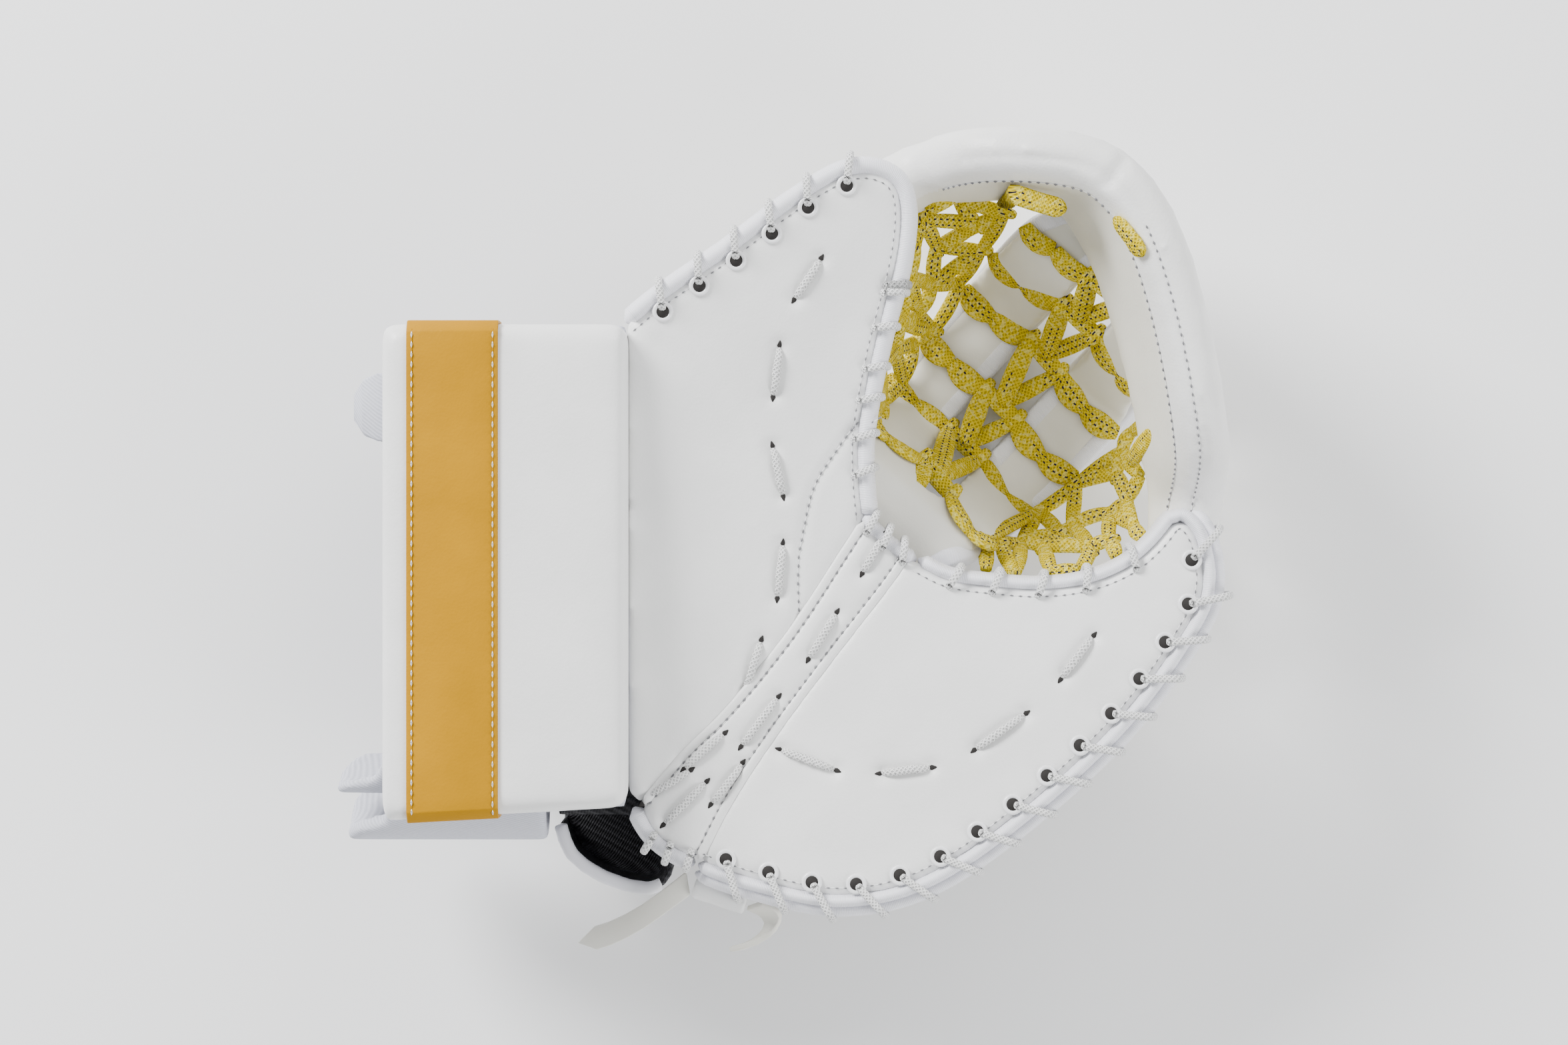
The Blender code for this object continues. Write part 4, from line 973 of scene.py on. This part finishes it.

# %% [markdown]
# A flat stitch is an even length of lace that sinks at both ends. The shade in the hole that it dives into is
# painted: a dark thin oval laid on the leather, which keeps the board's own mesh light.

# %% Flat stitches of the front
slit_shades = Bundle()
flat = Bundle()
for pair in (*PALM_LACES, *STRIP_LACES, *THUMB_LACES):
    plan_path = even(pair, count=19)
    places, facing = fronts.lay(plan_path, 0.0)
    share = np.linspace(0.0, 1.0, len(places))
    places += facing * (0.0013 - 0.0030 * np.abs(2 * share - 1) ** 6)[:, None]
    bow = 0.0005 * np.sin(np.pi * share)
    flat.add(places + facing * bow[:, None], facing, 0.0017 * np.sin(np.pi * np.clip(share, 0.08, 0.92)) ** 0.20,
             0.0012, sides=12, square=0.9)
    along = (pair[1] - pair[0]) / np.linalg.norm(pair[1] - pair[0])
    for end, sign in ((pair[0], -1), (pair[1], 1)):
        line = np.array([end - sign * along * 0.0012, end + sign * along * 0.0008, end + sign * along * 0.0028])
        spots, normals = fronts.lay(line, 0.00015)
        slit_shades.add(spots, normals, 0.00115, 0.00035, sides=8, tip=0.0016)
keep(flat.build("front_lacing"), LACE)
keep(slit_shades.build("lace_slit_shades"), HOLE_SHADE)
keep(hole_shade_discs.build("eyelet_shades"), HOLE_SHADE)

# %% [markdown]
# A white welt fills the joint on each side of the fold strip, and rows of grey stitches run beside it and
# along every edge.

# %% Seams of the boards
WELT_HALF, WELT_THICK = 0.0019, 0.0009
welts = Bundle()
for path in (palm_seam, thumb_seam):
    plan_path = even(path, step=0.003)
    welts.add(np.column_stack([plan_path, front(plan_path) - WELT_THICK]), (0, 0, 1), WELT_HALF, WELT_THICK,
              sides=10, tip=0.002)
keep(welts.build("seam_welts"), WHITE)
for line in (CURVED_SEAM, SHORT_SEAM, sideways(palm_seam, 0.0022), sideways(thumb_seam, -0.0022)):
    stitch(threads, shades, *fronts.lay(even(line, step=0.002), 0.0002))
for path, inwards in ((palm_edge, -0.0036), (thumb_path, 0.0036)):
    stitch(threads, shades, *fronts.lay(even(sideways(path, inwards), step=0.002), 0.0001), radius=0.00036)

# %% [markdown]
# ## The double strap
# Two padded straps, joined at both ends, run under the pocket from the fold strip to the rim and carry the
# net. Their long edges are bound with ribbon, and so is the round end of the slot between them.

# %% Shape of the strap
START, ALONG, ACROSS = np.array((0.0381, -0.0037)), np.array((0.67306, 0.73959)), np.array((0.73959, -0.67306))
STRAP_LONG = 0.16067
STRAP_EDGE = np.array([(0, .50, .50), (.101, .60, .60), (.213, .80, .80), (.381, .97, .97), (.591, 1, 1),
                       (.745, 1, .98), (.829, 1, .86), (.899, .98, .66), (.955, .92, .46), (1, .84, .26)])


def strap_top(t):
    share = np.asarray(t) / STRAP_LONG
    low = 0.0687 * ease((0.3794 - share) / (0.3794 - 0.1242))
    high = 0.0467 * ease((share - 0.6906) / (0.9583 - 0.6906))
    return np.where(share < 0.3794, low, high) + 0.007


def on_strap(t, s, lift=0.0):
    """Point over the double strap: t along it, s across it towards the thumb."""
    t = float(t)
    slope = float(strap_top(t + 0.0005) - strap_top(t - 0.0005)) / 0.001
    normal = np.array((-slope * ALONG[0], -slope * ALONG[1], 1.0))
    normal /= np.linalg.norm(normal)
    return np.array((*(START + t * ALONG + s * ACROSS), float(strap_top(t)))) + lift * normal, normal


keep(soft_copy("padded_straps", "double_t", 0.0026, cap=0.0006, rounds=2), CREAM, ["double_t"])

# %% [markdown]
# The ribbon on the straps' edges is sunk into them, so that it stands a little proud on both sides.

# %% Ribbon on the strap's edges
STRAP_HALF, TRIM_SINK, TRIM_HALF, TRIM_THICK, TRIM_INSET = 0.045, -0.0029, 0.0041, 0.0040, 0.0032
trim = Bundle()


def trim_along(rows):
    """Ribbon wrapped round an edge of the strap, given as t and s."""
    found = [on_strap(t, s, TRIM_SINK) for t, s in even(np.array(rows, float), step=0.0025)]
    trim.add([point for point, _ in found], [normal for _, normal in found], TRIM_HALF, TRIM_THICK, sides=16,
             square=0.55)


for column, sign in ((1, -1), (2, 1)):
    rows = [(share * STRAP_LONG, sign * (reach * STRAP_HALF - TRIM_INSET))
            for share, reach in STRAP_EDGE[:, (0, column)]]
    trim_along(smooth(rows, 4))
slot_low, slot_high, slot_half = 0.2362 * STRAP_LONG, 0.9085 * STRAP_LONG, 0.0115 + TRIM_INSET
turn = [math.pi * step / 8 for step in range(9)]
loop = [(slot_low - 0.7 * slot_half * math.sin(a), -slot_half * math.cos(a)) for a in turn]
loop += [(slot_high + slot_half * math.sin(a), slot_half * math.cos(a)) for a in turn]
trim_along(loop + loop[:2])
keep(trim.build("strap_binding"), BINDING)

# %% [markdown]
# ## The yellow net
# The net is one flat braided lace. Between two knots or pinches it swells to a flat sausage, and where it
# passes through or is tied it is drawn in. Rows cross both straps, ribbons zigzag down the slot between them,
# and diamonds climb to the edges of the pocket.

# %% Knots and laces
net = Bundle()
chance = np.random.default_rng(7)
POCKET = np.array((0.093, 0.065))


def rope(first, second, wide=0.0050, thick=0.0016, pinch=0.42, lift=0.0, up=None, sway=0.0):
    """A length of flat lace between two points in space, with its belly lifted along up."""
    first, second = np.asarray(first, float), np.asarray(second, float)
    up = np.array((0.0, 0.0, 1.0)) if up is None else np.asarray(up, float)
    share = np.linspace(0.0, 1.0, max(8, int(np.linalg.norm(second - first) / 0.0012)))
    ahead = (second - first) / np.linalg.norm(second - first)
    side = np.cross(ahead, up)
    side /= np.linalg.norm(side)
    path = first + (second - first) * share[:, None]
    path += np.sin(np.pi * share)[:, None] * (lift * up + sway * side)
    belly = pinch + (1 - pinch) * np.sin(np.pi * np.clip(share, 0.03, 0.97)) ** 0.7
    net.add(path, up, wide * belly, thick * (1.25 - 0.35 * belly), sides=14, square=0.85)


def knot(point, ahead, up, size=0.0030, long=0.0085):
    """Lace drawn tight across another: a short fat wrap."""
    ahead = np.array(ahead, float) / np.linalg.norm(ahead)
    share = np.linspace(-1.0, 1.0, 9)
    path = np.asarray(point) + 0.5 * long * share[:, None] * ahead
    path -= (share**2)[:, None] * 0.0022 * np.asarray(up)
    net.add(path, up, size * (1.0 - 0.25 * share**2), 0.0024, sides=12, square=0.9)


# %% [markdown]
# Over each strap a lace runs in six rows. The table gives, in millimetres along the strap, where a row passes
# its outer edge, where it is pinched halfway, and where it reaches the slot.

# %% Rows over the straps
ROWS = {
    -1: {"outer": (38, 61, 86, 112, 131, 147), "pinch": (35.6, 60, 84.5, 110.5, 130, 148),
         "inner": (38.9, 62.3, 85.4, 115.9, 135.3, 148.9)},
    1: {"outer": (33, 58, 84, 110, 131, 147), "pinch": (29.8, 55.4, 80.5, 108, 130, 149),
        "inner": (35.6, 61.7, 84.7, 112.5, 135.1, 151.2)},
}
LIFT, STEEP_LIFT = 0.0026, 0.0028


def row_lace(stops, lift):
    """Flat lace over a strap, from stop to stop (t, s); it narrows at each stop and bows between them."""
    for (t1, s1), (t2, s2) in zip(stops, stops[1:]):
        share = np.linspace(0.0, 1.0, max(9, int(math.hypot(t2 - t1, s2 - s1) / 0.0011)))
        hump = np.sin(np.pi * share)
        laid = [on_strap(t1 + (t2 - t1) * a - 0.0016 * b, s1 + (s2 - s1) * a, lift - 0.0005 + 0.0009 * b)
                for a, b in zip(share, hump)]
        belly = 0.44 + 0.56 * np.sin(np.pi * np.clip(share, 0.03, 0.97)) ** 0.65
        net.add([point for point, _ in laid], [normal for _, normal in laid], 0.0054 * belly,
                0.0017 * (1.3 - 0.35 * belly), sides=14, square=0.85)


inner = {}
for side, rows in ROWS.items():
    column = 1 if side < 0 else 2
    for row in range(6):
        t = rows["outer"][row] * MM
        reach = np.interp(t / STRAP_LONG, STRAP_EDGE[:, 0], STRAP_EDGE[:, column]) * STRAP_HALF
        stops = [(t, side * (reach + 0.0010)),
                 (rows["pinch"][row] * MM, side * min(0.028, 0.62 * reach + 0.004)),
                 (rows["inner"][row] * MM, side * 0.0095)]
        lift = LIFT + (STEEP_LIFT if row == 0 else 0.0)
        row_lace(stops, lift)
        inner[side, row] = on_strap(*stops[-1], lift)[0]
print("rows", len(inner))

# %% [markdown]
# Down the slot a ribbon joins the two rows at each step and slants to the one below, with a knot at every
# meeting.

# %% Ribbons in the slot
for row in range(6):
    left, right = inner[-1, row], inner[1, row]
    rope(left, right, wide=0.0040, pinch=0.72, lift=0.0006)
    knot(left, (*ALONG, 0.0), (0, 0, 1))
    knot(right, (*ALONG, 0.0), (0, 0, 1))
    if row:
        below = 0.5 * (inner[-1, row - 1] + inner[1, row - 1])
        rope(left, below + (0, 0, 0.0014), wide=0.0045, pinch=0.62, lift=0.0012)
        rope(right, below - (0, 0, 0.0010), wide=0.0038, pinch=0.62, lift=-0.0004)
arch = [on_strap(slot_high + slot_half, s, LIFT)[0] for s in (-0.004, 0.006)]
rope(inner[-1, 5], arch[0], wide=0.0046, pinch=0.7)
rope(inner[1, 5], arch[1], wide=0.0050, pinch=0.7)
rope(inner[-1, 0], on_strap(slot_low - 0.006, -0.004, LIFT)[0], wide=0.0048, pinch=0.7)
print("laces with the slot's", len(net.points) // 2)

# %% [markdown]
# Beside the straps the lace makes uneven diamonds. Each letter is a knot with its place in millimetres, and
# each pair of letters is a length of lace between two knots.

# %% Sides of the net
PALM_SIDE = {
    "a": (60.0, 142.9, 55.2), "b": (75.3, 146.2, 50.6), "c": (95.1, 139.2, 49.7), "d": (60.6, 135.7, 53.7),
    "e": (83.8, 135.4, 43.9), "f": (57.0, 125.7, 57.5), "g": (67.1, 126.2, 36.2), "h": (86.1, 125.1, 29.9),
    "i": (54.8, 111.8, 56.5), "j": (65.5, 109.6, 29.3), "k": (78.1, 112.1, 15.0), "l": (51.5, 93.0, 46.7),
    "m": (59.1, 97.6, 27.7), "n": (66.2, 91.2, 11.0), "o": (49.5, 82.0, 36.9), "p": (58.2, 85.8, 15.2),
    "q": (53.1, 68.4, 12.0), "r": (44.8, 60.3, 28.9), "s": (42.2, 50.0, 40.8), "t": (49.5, 139.0, 70.0),
    "u": (47.0, 102.0, 68.0), "v": (43.0, 74.0, 66.0), "w": (39.5, 55.0, 66.0),
}
PALM_LINKS = ("ab bc ad be de df dg ge gh gc hj fi gj ij ch hk jk jm il im lm ln mn kn lo np op pq oq qr rs "
              "ta tf ui ul vo vr ws wr")
THUMB_SIDE = {
    "a": (150.9, 47.1, 22.6), "b": (147.2, 39.6, 21.7), "c": (144.2, 29.4, 25.1), "d": (148.1, 18.1, 36.8),
    "e": (153.2, 28.6, 41.9), "f": (127.5, 25.5, 11.7), "g": (124.9, 7.5, 27.7), "h": (140.8, 12.8, 33.7),
    "i": (149.1, 7.1, 53.1), "j": (131.8, -1.8, 50.5), "k": (139.0, 0.5, 54.7), "l": (141.0, -6.2, 69.1),
    "m": (119.8, 3.5, 29.4), "n": (111.0, 13.0, 11.0), "o": (102.9, 0.3, 34.4), "p": (112.1, -1.9, 42.0),
    "q": (113.7, -12.4, 66.1), "r": (125.8, -11.8, 66.1), "s": (93.0, -0.6, 46.9), "t": (85.9, 0.6, 56.6),
    "u": (98.9, -13.5, 69.3), "v": (86.2, -11.2, 71.6), "w": (157.0, 51.9, 45.9), "x": (156.9, 62.7, 42.6),
    "y": (153.0, 2.0, 66.0),
}
THUMB_LINKS = ("aw ab bc be cd ed bf fc fg gh dh di hi gj gm jk hk jr kl fn mn no mo mp op os pq jp st so tv su "
               "ou nt qr iy xw")
for nodes, links in ((PALM_SIDE, PALM_LINKS), (THUMB_SIDE, THUMB_LINKS)):
    spots = {name: np.array(place) * MM + chance.normal(0.0, 0.0003, 3) for name, place in nodes.items()}
    for first, second in links.split():
        a, b = spots[first], spots[second]
        out = np.array((*(POCKET - 0.5 * (a + b)[:2]), 0.0))
        out = out / np.linalg.norm(out) * 0.45 + np.array((0, 0, 0.89))
        rope(a, b, wide=0.0034, thick=0.0018, pinch=0.66, up=out, lift=chance.uniform(-0.0003, 0.0018),
             sway=chance.uniform(-0.0008, 0.0008))
    for name, spot in spots.items():
        links_here = [link for link in links.split() if name in link]
        if len(links_here) > 2:
            other = spots[links_here[0].replace(name, "")]
            knot(spot + (0, 0, 0.0006), (other - spot) * (1, 1, 0.3), (0, 0, 1), size=0.0027, long=0.0072)
print("net laces", len(net.points) // 2)

# %% [markdown]
# The lace ends in four short lengths that pass through the rim and lie on it.

# %% Loose ends on the rim
for rows, wide in (([(93.9, 143.7), (106.0, 139.8), (117.8, 136.6)], 0.0042),
                   ([(137.5, 133.6), (143.5, 125.5), (149.0, 117.1)], 0.0042)):
    places, facing = rim_ground.lay(even(smooth(np.array(rows) * MM), step=0.0012), 0.0016)
    net.add(places, facing, wide, 0.0021, sides=14, square=0.9, tip=0.005)
rope((0.1490, 0.0345, 0.046), (0.1590, 0.0490, 0.086), wide=0.0042, thick=0.0022, pinch=0.70, lift=0.0020,
     up=(-0.60, 0.0, 0.80))
rope((0.0625, 0.1405, 0.060), (0.0745, 0.1480, 0.058), wide=0.0046, thick=0.0024, pinch=0.72, lift=0.0045)
keep(net.build("yellow_net"), NET, ["net"])

# %% [markdown]
# ## Behind the boards
# The hand slides into a soft black liner behind the palm. A thick pad closes its back, a strap runs under the
# wrist, and its leather ends hang out beside a rolled sleeve below the thumb.

# %% Liner, pad and straps
keep(soft_copy("hand_pocket_cloth", "hand_liner", 0.0024, levels=0, rounds=2), MESH,
     ["hand_liner"])
keep(soft_copy("back_of_hand_pad", "backhand_pad", 0.0042, cap=0.0020), WHITE, ["backhand_pad"])
keep(soft_copy("liner_edge_roll", "liner_roll", 0.0012, levels=0), BINDING, ["liner_roll"])
keep(soft_copy("rolled_sleeve", "strap_sleeve", 0.0012, levels=0), WHITE, ["strap_sleeve"])

# %% [markdown]
# The strap under the wrist comes out beside the cuff as a folded loop. Its fold is gathered, so the loop's
# width narrows to a round end.

# %% Straps
keep(crisp_copy("under_wrist_strap", "wrist_strap", 0.0008), NYLON, ["wrist_strap"])
loop_piece = crisp_copy("folded_strap_loop", "strap_loop", 0.0008)
LOOP_ROUND = 0.011
places = read(loop_piece)
loop_low, loop_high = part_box("strap_loop")
middle = 0.5 * (loop_low[1] + loop_high[1])
turned = np.clip((loop_low[0] + LOOP_ROUND - places[:, 0]) / LOOP_ROUND, 0.0, 0.92)
places[:, 1] = middle + (places[:, 1] - middle) * np.sqrt(1.0 - turned**2)
write(loop_piece, places)
keep(loop_piece, NYLON, ["strap_loop"])
keep(crisp_copy("long_strap_end", "strap_end_long", 0.0006), CREAM, ["strap_end_long"])
keep(crisp_copy("short_strap_end", "strap_end_short", 0.0006), CREAM, ["strap_end_short"])

# %% [markdown]
# ## Threads and the end
# All the threads are one piece and all their shaded lines another.

# %% Threads
keep(threads.build("seam_threads"), THREAD)
keep(shades.build("seam_shades"), SHADE)
